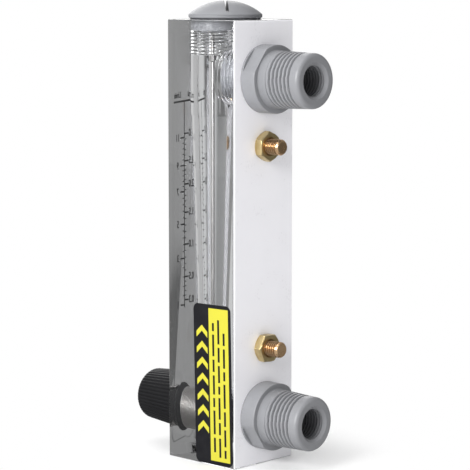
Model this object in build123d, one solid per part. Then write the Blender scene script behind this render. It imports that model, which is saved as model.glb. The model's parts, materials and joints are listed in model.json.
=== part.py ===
from build123d import *
import math
import os

# Panel mount flow meter. A clear acrylic block has an upright tapered bore, in which a float rises
# on a guide rod. Two threaded fittings and two mounting studs stand out of its white back, and a
# needle valve with a fluted knob sits at the lower front, on the axis of the inlet.
#
# Millimetres. The origin is the centre of the block's bottom face, with +Z up. The front, with the
# scale and the valve, faces -Y, and the back, with the ports and studs, faces +Y.

# Acrylic block
BLOCK_WIDTH = 32.0
BLOCK_DEPTH = 34.0
BLOCK_HEIGHT = 165.0
BLOCK_EDGE = 0.5
BACKING_THICKNESS = 0.3
FRONT_Y = -BLOCK_DEPTH / 2
BACK_Y = BLOCK_DEPTH / 2
BACKING_Y = BACK_Y - BACKING_THICKNESS

# Heights of the ports and studs: the upper ones keep their places below the block's top
LOWER_PORT_Z = 18.4
UPPER_PORT_FROM_TOP = 21.4
UPPER_PORT_Z = BLOCK_HEIGHT - UPPER_PORT_FROM_TOP
STUD_ABOVE_LOWER_PORT = 25.5
STUD_BELOW_UPPER_PORT = 24.7
LOWER_STUD_Z = LOWER_PORT_Z + STUD_ABOVE_LOWER_PORT
UPPER_STUD_Z = UPPER_PORT_Z - STUD_BELOW_UPPER_PORT

# Upright bore, from the rod holder up to the plug
BORE_FROM_FRONT = 14.4
BORE_Y = FRONT_Y + BORE_FROM_FRONT
PASSAGE_DIAMETER = 8.5
HOLDER_ABOVE_PORT = 12.1
HOLDER_SEAT_Z = LOWER_PORT_Z + HOLDER_ABOVE_PORT
HOLDER_THICKNESS = 3.0
TAPER_BOTTOM_Z = HOLDER_SEAT_Z + HOLDER_THICKNESS
TAPER_BOTTOM_DIAMETER = 10.9
LEDGE_BELOW_PORT = 16.6
LEDGE_Z = UPPER_PORT_Z - LEDGE_BELOW_PORT
TAPER_TOP_DIAMETER = 17.9
CHAMBER_DIAMETER = 18.4
TOP_THREAD_DIAMETER = 18.9
TOP_THREAD_DEPTH = 13.5
TOP_THREAD_Z = BLOCK_HEIGHT - TOP_THREAD_DEPTH

# Cavity and seat of the needle valve: depths from the front face
VALVE_CAVITY_DIAMETER = 12.5
VALVE_CAVITY_DEPTH = 17.7
SEAT_DIAMETER = 6.0
SEAT_LENGTH = 2.5

# Ports and the fittings in them
PORT_DIAMETER = 20.9
PORT_DEPTH = BLOCK_DEPTH - VALVE_CAVITY_DEPTH - SEAT_LENGTH
SEAL_WIDTH = 1.65
SEAL_POCKET_DIAMETER = PORT_DIAMETER + 2 * SEAL_WIDTH
SEAL_POCKET_DEPTH = 1.5
SPIGOT_CLEARANCE = 0.4
SPIGOT_LENGTH = BLOCK_DEPTH - BORE_FROM_FRONT - CHAMBER_DIAMETER / 2 - SPIGOT_CLEARANCE
SPIGOT_CHAMFER = 0.6
FLANGE_COVER = 0.47
FLANGE_DIAMETER = SEAL_POCKET_DIAMETER + 2 * FLANGE_COVER
FLANGE_THICKNESS = 6.7
FLANGE_RIM = 0.9
FLANGE_CHAMFER = 0.35
FLAT_DEPTH = 1.07
FLANGE_ACROSS_FLATS = FLANGE_DIAMETER - 2 * FLAT_DEPTH
UPPER_FLAT_ANGLE = 37.6
LOWER_FLAT_ANGLE = -34.0
NECK_END = 10.5
PIPE_THREAD_DIAMETER = 20.9
PIPE_THREAD_END = 21.5
PIPE_TAPER = 1 / 16
LEAD_IN_END = 23.0
FITTING_LENGTH = 25.3
TIP_BULGE = 0.35
THROUGH_DIAMETER = 9.2
INNER_THREAD_DIAMETER = 11.44
INNER_THREAD_LENGTH = 12.0
MOUTH_CHAMFER = 1.1
MOUTH_DIAMETER = INNER_THREAD_DIAMETER + 2 * MOUTH_CHAMFER
TIP_FACE_WIDTH = 1.58
TIP_FACE_DIAMETER = MOUTH_DIAMETER + 2 * TIP_FACE_WIDTH

# Mounting studs and their nuts
STUD_DIAMETER = 6.0
STUD_ENGAGED_DIAMETER = 5.35
STUD_IN_BLOCK = 6.5
STUD_OUT = 9.3
STUD_CHAMFER = 0.8
NUT_ACROSS_FLATS = 9.8
NUT_THICKNESS = 3.6
NUT_CHAMFER = 0.6
UPPER_NUT_TURN = 31.0
LOWER_NUT_TURN = -2.0

# Top plug and its gasket
GASKET_THICKNESS = 0.5
GASKET_DIAMETER = 26.2
CAP_DIAMETER = 27.4
CAP_RIM = 1.3
CAP_DOME_RISE = 5.1
PLUG_SHANK_LENGTH = 4.7
SLOT_WIDTH = 1.2
SLOT_DEPTH = 3.9
SLOT_ANGLE = 47.3

# Guide rod, its holder and stop, and the float
ROD_DIAMETER = 2.5
ROD_SOCKET_DEPTH = 3.0
ROD_BELOW_HOLDER = 1.0
HOLDER_RING_WALL = 1.1
HOLDER_HUB_DIAMETER = 4.8
HOLDER_ARM_WIDTH = 1.2
HOLDER_ARMS = 3
STOP_DIAMETER = 4.6
STOP_HEIGHT = 3.0
STOP_Z = TOP_THREAD_Z - STOP_HEIGHT
FLOAT_ROD_CLEARANCE = 0.08
FLOAT_SEAT_GAP = 0.2
FLOAT_DIAMETER = 10.4
FLOAT_BODY_DIAMETER = 7.2
FLOAT_NOSE_DIAMETER = 5.2
FLOAT_TOP_DIAMETER = 8.6
FLOAT_NOSE_LENGTH = 2.0
FLOAT_BODY_LENGTH = 7.0
FLOAT_CONE_LENGTH = 4.0
FLOAT_EDGE_LENGTH = 1.6
FLOAT_CROWN_LENGTH = 2.0

# Bonnet of the needle valve and the stem in it: distances start at the block's front face
BONNET_THREAD_DIAMETER = 15.9
BONNET_DEPTH = 12.0
BONNET_SEAL_STEP = 1.35
BONNET_SEAL_POCKET_DIAMETER = BONNET_THREAD_DIAMETER + 2 * BONNET_SEAL_STEP
BONNET_SEAL_POCKET_DEPTH = 2.2
BONNET_NECK_DIAMETER = BONNET_THREAD_DIAMETER - 2 * BONNET_SEAL_STEP
BONNET_HEAD_COVER = 0.8
BONNET_HEAD_ACROSS_FLATS = BONNET_SEAL_POCKET_DIAMETER + 2 * BONNET_HEAD_COVER
BONNET_HEAD_THICKNESS = 1.8
BONNET_HEAD_CHAMFER = 0.5
BONNET_BORE_DIAMETER = 8.0
BONNET_WEB_DEPTH = 1.2
RUNNING_CLEARANCE = 0.05
VALVE_TRAVEL = 3.75
TRAVEL_SPARE = 0.25
STEM_SHAFT_DIAMETER = 5.0
STEM_HEAD_DIAMETER = BONNET_BORE_DIAMETER - 2 * RUNNING_CLEARANCE
STEM_HEAD_FRONT = BONNET_WEB_DEPTH + TRAVEL_SPARE + VALVE_TRAVEL
STEM_HEAD_PAST_BONNET = 3.0
STEM_HEAD_BACK = BONNET_DEPTH + STEM_HEAD_PAST_BONNET
STEM_GROOVE_FROM_FRONT = 0.9
STEM_GROOVE_LENGTH = 1.7
STEM_GROOVE_DIAMETER = 5.4
STEM_NECK_DIAMETER = SEAT_DIAMETER - 2 * RUNNING_CLEARANCE
NEEDLE_TIP_DIAMETER = 1.6
NEEDLE_LENGTH = 3.9

# Knob, with its flutes and set screw
KNOB_BACK = 2.5
KNOB_LENGTH = 23.3
KNOB_BACK_DIAMETER = 23.0
KNOB_FRONT_DIAMETER = 19.7
KNOB_FRONT_RADIUS = 2.2
KNOB_COLLAR = 2.9
KNOB_CROWN = 0.9
KNOB_SKIRT_DEPTH = 3.0
KNOB_SKIRT_DIAMETER = 19.0
KNOB_HUB_DIAMETER = 11.0
KNOB_SOCKET_WALL = 3.4
FLUTE_COUNT = 48
FLUTE_RADIUS = 0.6
FLUTE_DEPTH = 0.42
SET_SCREW_DIAMETER = 3.0
SET_SCREW_LENGTH = 5.0
SET_SCREW_FROM_BACK = 7.5

# Sticker on the side, measured from the back face and the bottom
LABEL_BACK_MARGIN = 1.1
LABEL_WIDTH = 19.0
LABEL_BOTTOM = 0.45
LABEL_HEIGHT = 60.1
LABEL_CORNER = 2.3
LABEL_TILT = 1.3
LABEL_THICKNESS = 0.12

CENTRE_X = Vector(1, 0, 0)
UP = Vector(0, 0, 1)
BACKWARD = Vector(0, 1, 0)
FORWARD = Vector(0, -1, 0)


def outline(*points):
    """Closed straight-sided face from (radius, distance) points."""
    return make_face(Polyline(*points, close=True))


def turned(face, origin, direction):
    """Solid turned about the line through origin: a face's x is the radius, its y the distance."""
    plane = Plane(origin=origin, x_dir=CENTRE_X, z_dir=CENTRE_X.cross(direction))
    return revolve(plane * face, axis=Axis(origin, direction))


def rod_shape(diameter, start, end, origin, direction):
    """Plain cylinder between two distances along a line."""
    radius = diameter / 2
    return turned(outline((0, start), (radius, start), (radius, end), (0, end)), origin, direction)


def at_back(z):
    """Point on the back face, on the block's middle line."""
    return Vector(0, BACK_Y, z)


def at_front(z):
    """Point on the front face, on the block's middle line."""
    return Vector(0, FRONT_Y, z)


def on_bore(z=0.0):
    """Point on the axis of the upright bore."""
    return Vector(0, BORE_Y, z)


def block_envelope():
    """Outer form of the block and its backing, with fine chamfers on every edge."""
    box = Box(BLOCK_WIDTH, BLOCK_DEPTH, BLOCK_HEIGHT, align=(Align.CENTER, Align.CENTER, Align.MIN))
    return chamfer(box.edges(), BLOCK_EDGE)


def port_cutter(z):
    """Tapped port with the pocket for its seal ring, cut in from the back."""
    port = rod_shape(PORT_DIAMETER, 0, PORT_DEPTH, at_back(z), FORWARD)
    pocket_depth = BACKING_THICKNESS + SEAL_POCKET_DEPTH
    return port + rod_shape(SEAL_POCKET_DIAMETER, 0, pocket_depth, at_back(z), FORWARD)


def bore_cutter():
    """Upright way through the block: passage, holder seat, measuring taper, chamber, plug thread."""
    passage = PASSAGE_DIAMETER / 2
    bottom = TAPER_BOTTOM_DIAMETER / 2
    top = TAPER_TOP_DIAMETER / 2
    chamber = CHAMBER_DIAMETER / 2
    thread = TOP_THREAD_DIAMETER / 2
    return turned(
        outline(
            (0, LOWER_PORT_Z),
            (passage, LOWER_PORT_Z),
            (passage, HOLDER_SEAT_Z),
            (bottom, HOLDER_SEAT_Z),
            (bottom, TAPER_BOTTOM_Z),
            (top, LEDGE_Z),
            (chamber, LEDGE_Z),
            (chamber, TOP_THREAD_Z),
            (thread, TOP_THREAD_Z),
            (thread, BLOCK_HEIGHT),
            (0, BLOCK_HEIGHT),
        ),
        on_bore(),
        UP,
    )


def valve_cutter():
    """Way in from the front: sloping seal pocket, bonnet thread, valve cavity and needle's seat."""
    pocket = BONNET_SEAL_POCKET_DIAMETER / 2
    thread = BONNET_THREAD_DIAMETER / 2
    cavity = VALVE_CAVITY_DIAMETER / 2
    seat = SEAT_DIAMETER / 2
    port_floor = VALVE_CAVITY_DEPTH + SEAT_LENGTH
    return turned(
        outline(
            (0, 0),
            (pocket, 0),
            (thread, BONNET_SEAL_STEP),
            (thread, BONNET_DEPTH),
            (cavity, BONNET_DEPTH),
            (cavity, VALVE_CAVITY_DEPTH),
            (seat, VALVE_CAVITY_DEPTH),
            (seat, port_floor),
            (0, port_floor),
        ),
        at_front(LOWER_PORT_Z),
        BACKWARD,
    )


def bored_block():
    """Block and backing in one, with every hole."""
    block = block_envelope() - bore_cutter() - valve_cutter()
    for z in (LOWER_PORT_Z, UPPER_PORT_Z):
        block -= port_cutter(z)
    for z in (LOWER_STUD_Z, UPPER_STUD_Z):
        block -= rod_shape(STUD_ENGAGED_DIAMETER, 0, STUD_IN_BLOCK, at_back(z), FORWARD)
    return block


def split_off_backing(block):
    """The clear block and the white sheet behind it, cut apart on the plane where they are bonded."""
    bond = Plane(origin=(0, BACKING_Y, 0), z_dir=BACKWARD)
    return split(block, bisect_by=bond, keep=Keep.BOTTOM), split(block, bisect_by=bond, keep=Keep.TOP)


def side_label():
    """Thin sticker with round corners, stuck slightly askew on the side face."""
    centre_y = BACK_Y - LABEL_BACK_MARGIN - LABEL_WIDTH / 2
    centre_z = LABEL_BOTTOM + LABEL_HEIGHT / 2
    side = Plane(origin=(BLOCK_WIDTH / 2, centre_y, centre_z), x_dir=BACKWARD, z_dir=CENTRE_X)
    outline = RectangleRounded(LABEL_WIDTH, LABEL_HEIGHT, LABEL_CORNER)
    return extrude(side * Rot(0, 0, LABEL_TILT) * outline, LABEL_THICKNESS)


def fitting(z, flat_angle):
    """Pipe fitting: sealed spigot in the block, flange with two wrench flats, tapered thread."""
    spigot = PORT_DIAMETER / 2
    through = THROUGH_DIAMETER / 2
    flange = FLANGE_DIAMETER / 2
    thread_start = PIPE_THREAD_DIAMETER / 2
    thread_end = thread_start - PIPE_TAPER / 2 * (PIPE_THREAD_END - NECK_END)
    lead_end = thread_end - PIPE_TAPER / 2 * (LEAD_IN_END - PIPE_THREAD_END)
    tip = TIP_FACE_DIAMETER / 2
    mouth = MOUTH_DIAMETER / 2
    inner = INNER_THREAD_DIAMETER / 2
    inner_front = FITTING_LENGTH - MOUTH_CHAMFER
    inner_back = inner_front - INNER_THREAD_LENGTH
    outside = Polyline(
        (through, -SPIGOT_LENGTH),
        (spigot - SPIGOT_CHAMFER, -SPIGOT_LENGTH),
        (spigot, SPIGOT_CHAMFER - SPIGOT_LENGTH),
        (spigot, 0),
        (flange, 0),
        (flange, FLANGE_THICKNESS - FLANGE_CHAMFER),
        (flange - FLANGE_CHAMFER, FLANGE_THICKNESS),
        (thread_start, FLANGE_THICKNESS),
        (thread_start, NECK_END),
        (thread_end, PIPE_THREAD_END),
        (lead_end, LEAD_IN_END),
    )
    nose_middle = ((lead_end + tip) / 2 + TIP_BULGE, (LEAD_IN_END + FITTING_LENGTH) / 2 + TIP_BULGE)
    nose = ThreePointArc((lead_end, LEAD_IN_END), nose_middle, (tip, FITTING_LENGTH))
    inside = Polyline(
        (tip, FITTING_LENGTH),
        (mouth, FITTING_LENGTH),
        (inner, inner_front),
        (inner, inner_back),
        (through, inner_back),
        (through, -SPIGOT_LENGTH),
    )
    body = turned(make_face((outside + nose + inside).edges()), at_back(z), BACKWARD)
    flat_length = FLANGE_THICKNESS - FLANGE_RIM
    chip = Box(FLANGE_DIAMETER, flat_length, FLANGE_DIAMETER, align=(Align.MIN, Align.MIN, Align.CENTER))
    for angle in (flat_angle, flat_angle + 180):
        turn = Pos(0, BACK_Y + FLANGE_RIM, z) * Rot(0, -angle, 0)
        body -= turn * Pos(FLANGE_ACROSS_FLATS / 2, 0, 0) * chip
    return body


def ring(inner_diameter, outer_diameter, thickness, origin, direction):
    """Round-section seal ring squeezed to fill its pocket from wall to wall."""
    section = Ellipse((outer_diameter - inner_diameter) / 4, thickness / 2)
    middle = (inner_diameter + outer_diameter) / 4
    return turned(Pos(middle, thickness / 2) * section, origin, direction)


def fitting_seal(z):
    """Ring seal between the flange of a fitting and the floor of its pocket."""
    thickness = BACKING_THICKNESS + SEAL_POCKET_DEPTH
    floor = Vector(0, BACK_Y - thickness, z)
    return ring(PORT_DIAMETER, SEAL_POCKET_DIAMETER, thickness, floor, BACKWARD)


def stud(z):
    """Mounting stud: engaged in block and nut at its pitch diameter, full size where it is free."""
    radius = STUD_DIAMETER / 2
    engaged = STUD_ENGAGED_DIAMETER / 2
    return turned(
        outline(
            (0, -STUD_IN_BLOCK),
            (engaged, -STUD_IN_BLOCK),
            (engaged, NUT_THICKNESS),
            (radius, NUT_THICKNESS),
            (radius, STUD_OUT - STUD_CHAMFER),
            (radius - STUD_CHAMFER, STUD_OUT),
            (0, STUD_OUT),
        ),
        at_back(z),
        BACKWARD,
    )


def double_chamfered_hexagon(across_flats, thickness, corner_drop, bore, origin, direction, turn):
    """Hexagon round a hole, with its corners rounded off at both faces."""
    plane = Plane(origin=origin, x_dir=CENTRE_X, z_dir=direction)
    hexagon = Rot(0, 0, turn) * RegularPolygon(across_flats / 2, 6, major_radius=False)
    prism = extrude(plane * hexagon, thickness)
    flat = across_flats / 2
    corner = flat / math.cos(math.pi / 6)
    envelope = outline(
        (bore / 2, 0),
        (flat, 0),
        (corner, corner_drop),
        (corner, thickness - corner_drop),
        (flat, thickness),
        (bore / 2, thickness),
    )
    return prism & turned(envelope, origin, direction)


def nut(z, turn):
    """Hexagon nut run down to the white back."""
    return double_chamfered_hexagon(
        NUT_ACROSS_FLATS, NUT_THICKNESS, NUT_CHAMFER, STUD_ENGAGED_DIAMETER, at_back(z), BACKWARD, turn
    )


def top_plug():
    """Domed cap with a screwdriver slot, a threaded shank, and a socket for the rod's end."""
    rim_z = BLOCK_HEIGHT + GASKET_THICKNESS
    cap = CAP_DIAMETER / 2
    shank = TOP_THREAD_DIAMETER / 2
    shank_z = BLOCK_HEIGHT - PLUG_SHANK_LENGTH
    shoulder_z = rim_z + CAP_RIM
    crown_z = shoulder_z + CAP_DOME_RISE
    sphere = (cap**2 + CAP_DOME_RISE**2) / (2 * CAP_DOME_RISE)
    half_angle = math.asin(cap / sphere) / 2
    dome_middle = (sphere * math.sin(half_angle), crown_z - sphere * (1 - math.cos(half_angle)))
    straight = Polyline(
        (0, crown_z), (0, shank_z), (shank, shank_z), (shank, rim_z), (cap, rim_z), (cap, shoulder_z)
    )
    dome = ThreePointArc((cap, shoulder_z), dome_middle, (0, crown_z))
    plug = turned(make_face((straight + dome).edges()), on_bore(), UP)
    slot = Box(CAP_DIAMETER, SLOT_WIDTH, SLOT_DEPTH, align=(Align.CENTER, Align.CENTER, Align.MAX))
    plug -= Pos(0, BORE_Y, crown_z) * Rot(0, 0, SLOT_ANGLE) * slot
    return plug - rod_shape(ROD_DIAMETER, shank_z, shank_z + ROD_SOCKET_DEPTH, on_bore(), UP)


def top_gasket():
    """Flat gasket under the cap."""
    inner = TOP_THREAD_DIAMETER / 2
    outer = GASKET_DIAMETER / 2
    top = BLOCK_HEIGHT + GASKET_THICKNESS
    face = outline((inner, BLOCK_HEIGHT), (outer, BLOCK_HEIGHT), (outer, top), (inner, top))
    return turned(face, on_bore(), UP)


def guide_rod():
    """Straight rod from under its holder up into the plug."""
    top = BLOCK_HEIGHT - PLUG_SHANK_LENGTH + ROD_SOCKET_DEPTH
    return rod_shape(ROD_DIAMETER, HOLDER_SEAT_Z - ROD_BELOW_HOLDER, top, on_bore(), UP)


def rod_collar(diameter, z, height):
    """Plain collar that fits the guide rod."""
    inner = ROD_DIAMETER / 2
    outer = diameter / 2
    face = outline((inner, z), (outer, z), (outer, z + height), (inner, z + height))
    return turned(face, on_bore(), UP)


def rod_holder():
    """Spoked ring at the foot of the taper, which holds the rod and lets the liquid past."""
    outer = TAPER_BOTTOM_DIAMETER / 2
    inner = outer - HOLDER_RING_WALL
    rim = outline(
        (inner, HOLDER_SEAT_Z), (outer, HOLDER_SEAT_Z), (outer, TAPER_BOTTOM_Z), (inner, TAPER_BOTTOM_Z)
    )
    hub = rod_collar(HOLDER_HUB_DIAMETER, HOLDER_SEAT_Z, HOLDER_THICKNESS)
    holder = turned(rim, on_bore(), UP) + hub
    arm_start = (ROD_DIAMETER + HOLDER_HUB_DIAMETER) / 4
    arm_end = outer - HOLDER_RING_WALL / 2
    arm = Box(
        arm_end - arm_start, HOLDER_ARM_WIDTH, HOLDER_THICKNESS, align=(Align.MIN, Align.CENTER, Align.MIN)
    )
    for index in range(HOLDER_ARMS):
        turn = Pos(0, BORE_Y, HOLDER_SEAT_Z) * Rot(0, 0, 90 + index * 360 / HOLDER_ARMS)
        holder += turn * Pos(arm_start, 0, 0) * arm
    return holder


def float_body():
    """Plumb-bob float with a reading edge, free on the guide rod."""
    hole = ROD_DIAMETER / 2 + FLOAT_ROD_CLEARANCE
    nose_z = TAPER_BOTTOM_Z + FLOAT_SEAT_GAP
    body_z = nose_z + FLOAT_NOSE_LENGTH
    cone_z = body_z + FLOAT_BODY_LENGTH
    edge_z = cone_z + FLOAT_CONE_LENGTH
    crown_z = edge_z + FLOAT_EDGE_LENGTH
    top_z = crown_z + FLOAT_CROWN_LENGTH
    return turned(
        outline(
            (hole, nose_z),
            (FLOAT_NOSE_DIAMETER / 2, nose_z),
            (FLOAT_BODY_DIAMETER / 2, body_z),
            (FLOAT_BODY_DIAMETER / 2, cone_z),
            (FLOAT_DIAMETER / 2, edge_z),
            (FLOAT_DIAMETER / 2, crown_z),
            (FLOAT_TOP_DIAMETER / 2, top_z),
            (hole, top_z),
        ),
        on_bore(),
        UP,
    )


def valve_bonnet():
    """Threaded sleeve that carries the stem, with a hexagon head against the front face."""
    valve = at_front(LOWER_PORT_Z)
    thread = BONNET_THREAD_DIAMETER / 2
    neck = BONNET_NECK_DIAMETER / 2
    stem_way = BONNET_BORE_DIAMETER / 2
    sleeve = outline(
        (stem_way, -BONNET_DEPTH),
        (thread, -BONNET_DEPTH),
        (thread, -BONNET_SEAL_POCKET_DEPTH),
        (neck, -BONNET_SEAL_POCKET_DEPTH),
        (neck, 0),
        (stem_way, 0),
    )
    shaft_way = STEM_SHAFT_DIAMETER + 2 * RUNNING_CLEARANCE
    web = outline(
        (shaft_way / 2, -BONNET_WEB_DEPTH), (neck, -BONNET_WEB_DEPTH), (neck, 0), (shaft_way / 2, 0)
    )
    head = double_chamfered_hexagon(
        BONNET_HEAD_ACROSS_FLATS, BONNET_HEAD_THICKNESS, BONNET_HEAD_CHAMFER, shaft_way, valve, FORWARD, 0
    )
    return turned(sleeve, valve, FORWARD) + turned(web, valve, FORWARD) + head


def bonnet_seal():
    """Ring seal round the bonnet's neck, squeezed by the head into its sloping pocket."""
    neck = BONNET_NECK_DIAMETER / 2
    pocket = BONNET_SEAL_POCKET_DIAMETER / 2
    thread = BONNET_THREAD_DIAMETER / 2
    section = outline(
        (neck, 0),
        (pocket, 0),
        (thread, BONNET_SEAL_STEP),
        (thread, BONNET_SEAL_POCKET_DEPTH),
        (neck, BONNET_SEAL_POCKET_DEPTH),
    )
    return turned(section, at_front(LOWER_PORT_Z), BACKWARD)


def valve_stem():
    """Stem with its screw head, seal groove and needle. It closes the seat at rest."""
    head = STEM_HEAD_DIAMETER / 2
    groove = STEM_GROOVE_DIAMETER / 2
    neck = STEM_NECK_DIAMETER / 2
    shaft = STEM_SHAFT_DIAMETER / 2
    head_front = -STEM_HEAD_FRONT
    groove_front = head_front - STEM_GROOVE_FROM_FRONT
    groove_back = groove_front - STEM_GROOVE_LENGTH
    head_back = -STEM_HEAD_BACK
    needle_start = -VALVE_CAVITY_DEPTH
    needle_end = needle_start - NEEDLE_LENGTH
    shaft_end = KNOB_BACK + KNOB_LENGTH - KNOB_SOCKET_WALL
    return turned(
        outline(
            (0, needle_end),
            (NEEDLE_TIP_DIAMETER / 2, needle_end),
            (neck, needle_start),
            (neck, head_back),
            (head, head_back),
            (head, groove_back),
            (groove, groove_back),
            (groove, groove_front),
            (head, groove_front),
            (head, head_front),
            (shaft, head_front),
            (shaft, shaft_end),
            (0, shaft_end),
        ),
        at_front(LOWER_PORT_Z),
        FORWARD,
    )


def stem_seal():
    """Ring seal in the stem's groove, running in the bonnet."""
    inner = STEM_GROOVE_DIAMETER + 2 * RUNNING_CLEARANCE
    outer = BONNET_BORE_DIAMETER - 2 * RUNNING_CLEARANCE
    thickness = STEM_GROOVE_LENGTH - 2 * RUNNING_CLEARANCE
    depth = STEM_HEAD_FRONT + STEM_GROOVE_FROM_FRONT + STEM_GROOVE_LENGTH - RUNNING_CLEARANCE
    start = Vector(0, FRONT_Y + depth, LOWER_PORT_Z)
    return ring(inner, outer, thickness, start, FORWARD)


def knob_face():
    """Half section of the knob before its flutes are cut."""
    back = KNOB_BACK_DIAMETER / 2
    front = KNOB_FRONT_DIAMETER / 2
    front_a = KNOB_BACK + KNOB_LENGTH
    edge_a = front_a - KNOB_CROWN
    corner_a = edge_a - KNOB_FRONT_RADIUS
    skirt_a = KNOB_BACK + KNOB_SKIRT_DEPTH
    socket_a = front_a - KNOB_SOCKET_WALL
    shaft = STEM_SHAFT_DIAMETER / 2
    corner_middle = (
        front - KNOB_FRONT_RADIUS * (1 - math.sin(math.pi / 4)),
        corner_a + KNOB_FRONT_RADIUS * math.sin(math.pi / 4),
    )
    edge_radius = front - KNOB_FRONT_RADIUS
    straight = Polyline(
        (0, front_a),
        (0, socket_a),
        (shaft, socket_a),
        (shaft, KNOB_BACK),
        (KNOB_HUB_DIAMETER / 2, KNOB_BACK),
        (KNOB_HUB_DIAMETER / 2, skirt_a),
        (KNOB_SKIRT_DIAMETER / 2, skirt_a),
        (KNOB_SKIRT_DIAMETER / 2, KNOB_BACK),
        (back, KNOB_BACK),
        (front, corner_a),
    )
    corner = ThreePointArc((front, corner_a), corner_middle, (edge_radius, edge_a))
    sphere = (edge_radius**2 + KNOB_CROWN**2) / (2 * KNOB_CROWN)
    half_angle = math.asin(edge_radius / sphere) / 2
    crown_middle = (sphere * math.sin(half_angle), front_a - sphere * (1 - math.cos(half_angle)))
    crown = ThreePointArc((edge_radius, edge_a), crown_middle, (0, front_a))
    return make_face((straight + corner + crown).edges())


def flute_cutter():
    """One flute: a round bar laid along the knob's sloping side, from its plain collar on."""
    back = KNOB_BACK_DIAMETER / 2
    front = KNOB_FRONT_DIAMETER / 2
    run = KNOB_LENGTH - KNOB_CROWN - KNOB_FRONT_RADIUS
    slope = Vector(front - back, -run, 0).normalized()
    outward = Vector(run, front - back, 0).normalized()
    start_radius = back + (front - back) * KNOB_COLLAR / run
    start = Vector(start_radius, FRONT_Y - KNOB_BACK - KNOB_COLLAR, 0)
    centre = start + outward * (FLUTE_RADIUS - FLUTE_DEPTH)
    bar = Plane(origin=centre, z_dir=slope)
    return bar * Cylinder(FLUTE_RADIUS, KNOB_LENGTH, align=(Align.CENTER, Align.CENTER, Align.MIN))


def set_screw_place():
    """Plane at the shaft's surface, looking down out of the knob."""
    y = FRONT_Y - KNOB_BACK - SET_SCREW_FROM_BACK
    return Plane(origin=(0, y, LOWER_PORT_Z - STEM_SHAFT_DIAMETER / 2), z_dir=-UP)


def knob():
    """Fluted knob with a hollow skirt, its hub on the stem."""
    solid = turned(knob_face(), at_front(0), FORWARD)
    cutter = flute_cutter()
    solid -= [Rot(0, index * 360 / FLUTE_COUNT, 0) * cutter for index in range(FLUTE_COUNT)]
    solid = Pos(0, 0, LOWER_PORT_Z) * solid
    return solid - extrude(set_screw_place() * Circle(SET_SCREW_DIAMETER / 2), KNOB_BACK_DIAMETER / 2)


def knob_set_screw():
    """Grub screw that clamps the knob's hub on the shaft."""
    return extrude(set_screw_place() * Circle(SET_SCREW_DIAMETER / 2), SET_SCREW_LENGTH)


def flow_meter():
    """Every piece by its name."""
    acrylic_body, white_backing = split_off_backing(bored_block())
    return {
        "acrylic_body": acrylic_body,
        "white_backing": white_backing,
        "side_label": side_label(),
        "top_plug": top_plug(),
        "top_plug_gasket": top_gasket(),
        "upper_fitting": fitting(UPPER_PORT_Z, UPPER_FLAT_ANGLE),
        "upper_fitting_o_ring": fitting_seal(UPPER_PORT_Z),
        "lower_fitting": fitting(LOWER_PORT_Z, LOWER_FLAT_ANGLE),
        "lower_fitting_o_ring": fitting_seal(LOWER_PORT_Z),
        "upper_stud": stud(UPPER_STUD_Z),
        "lower_stud": stud(LOWER_STUD_Z),
        "upper_nut": nut(UPPER_STUD_Z, UPPER_NUT_TURN),
        "lower_nut": nut(LOWER_STUD_Z, LOWER_NUT_TURN),
        "guide_rod": guide_rod(),
        "rod_stop": rod_collar(STOP_DIAMETER, STOP_Z, STOP_HEIGHT),
        "rod_holder": rod_holder(),
        "float": float_body(),
        "valve_bonnet": valve_bonnet(),
        "bonnet_o_ring": bonnet_seal(),
        "stem_o_ring": stem_seal(),
        "valve_stem": valve_stem(),
        "knob": knob(),
        "knob_set_screw": knob_set_screw(),
    }


os.makedirs("parts", exist_ok=True)
for name, piece in flow_meter().items():
    export_step(piece, f"parts/{name}.step")
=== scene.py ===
"""Looks of a panel mount flow meter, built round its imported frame.

The meter is a clear acrylic block with a tapered bore. A printed scale is on its front, a white sheet,
two threaded fittings and two brass studs are on its back, a slotted plug is on top, a needle valve with
a fluted knob is at the lower front, and a sticker is on its side. Sizes here are millimetres in the
frame of the solids, and a finished mesh is scaled to metres.
"""

from __future__ import annotations

import json
import logging
import math
from collections.abc import Callable, Iterable, Sequence
from dataclasses import dataclass, field
from enum import Enum

import bmesh
import bpy
from mathutils import Matrix, Vector

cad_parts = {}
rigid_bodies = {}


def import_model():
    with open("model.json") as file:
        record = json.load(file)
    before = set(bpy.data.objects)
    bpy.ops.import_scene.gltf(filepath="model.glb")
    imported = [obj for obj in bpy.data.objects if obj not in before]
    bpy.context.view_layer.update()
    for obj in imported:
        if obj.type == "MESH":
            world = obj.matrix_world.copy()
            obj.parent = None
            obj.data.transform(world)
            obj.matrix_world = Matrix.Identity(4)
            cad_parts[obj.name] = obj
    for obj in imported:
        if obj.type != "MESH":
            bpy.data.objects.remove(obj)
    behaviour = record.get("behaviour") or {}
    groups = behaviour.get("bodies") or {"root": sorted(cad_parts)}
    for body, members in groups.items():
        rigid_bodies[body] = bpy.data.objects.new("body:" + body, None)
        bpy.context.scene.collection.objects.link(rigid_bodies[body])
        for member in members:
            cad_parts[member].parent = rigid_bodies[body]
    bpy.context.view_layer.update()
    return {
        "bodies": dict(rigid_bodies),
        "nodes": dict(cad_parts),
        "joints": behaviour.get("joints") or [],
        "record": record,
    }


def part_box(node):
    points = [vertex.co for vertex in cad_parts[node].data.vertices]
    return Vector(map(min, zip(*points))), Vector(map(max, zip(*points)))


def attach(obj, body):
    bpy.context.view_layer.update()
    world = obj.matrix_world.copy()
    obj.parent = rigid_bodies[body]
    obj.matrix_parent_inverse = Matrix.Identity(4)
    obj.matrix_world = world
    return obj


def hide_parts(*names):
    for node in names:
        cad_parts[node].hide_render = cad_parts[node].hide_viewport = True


LOG = logging.getLogger("flow_meter")
MM = 0.001

Outline = Sequence[tuple[float, float]]
Colour = tuple[float, float, float]


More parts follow.
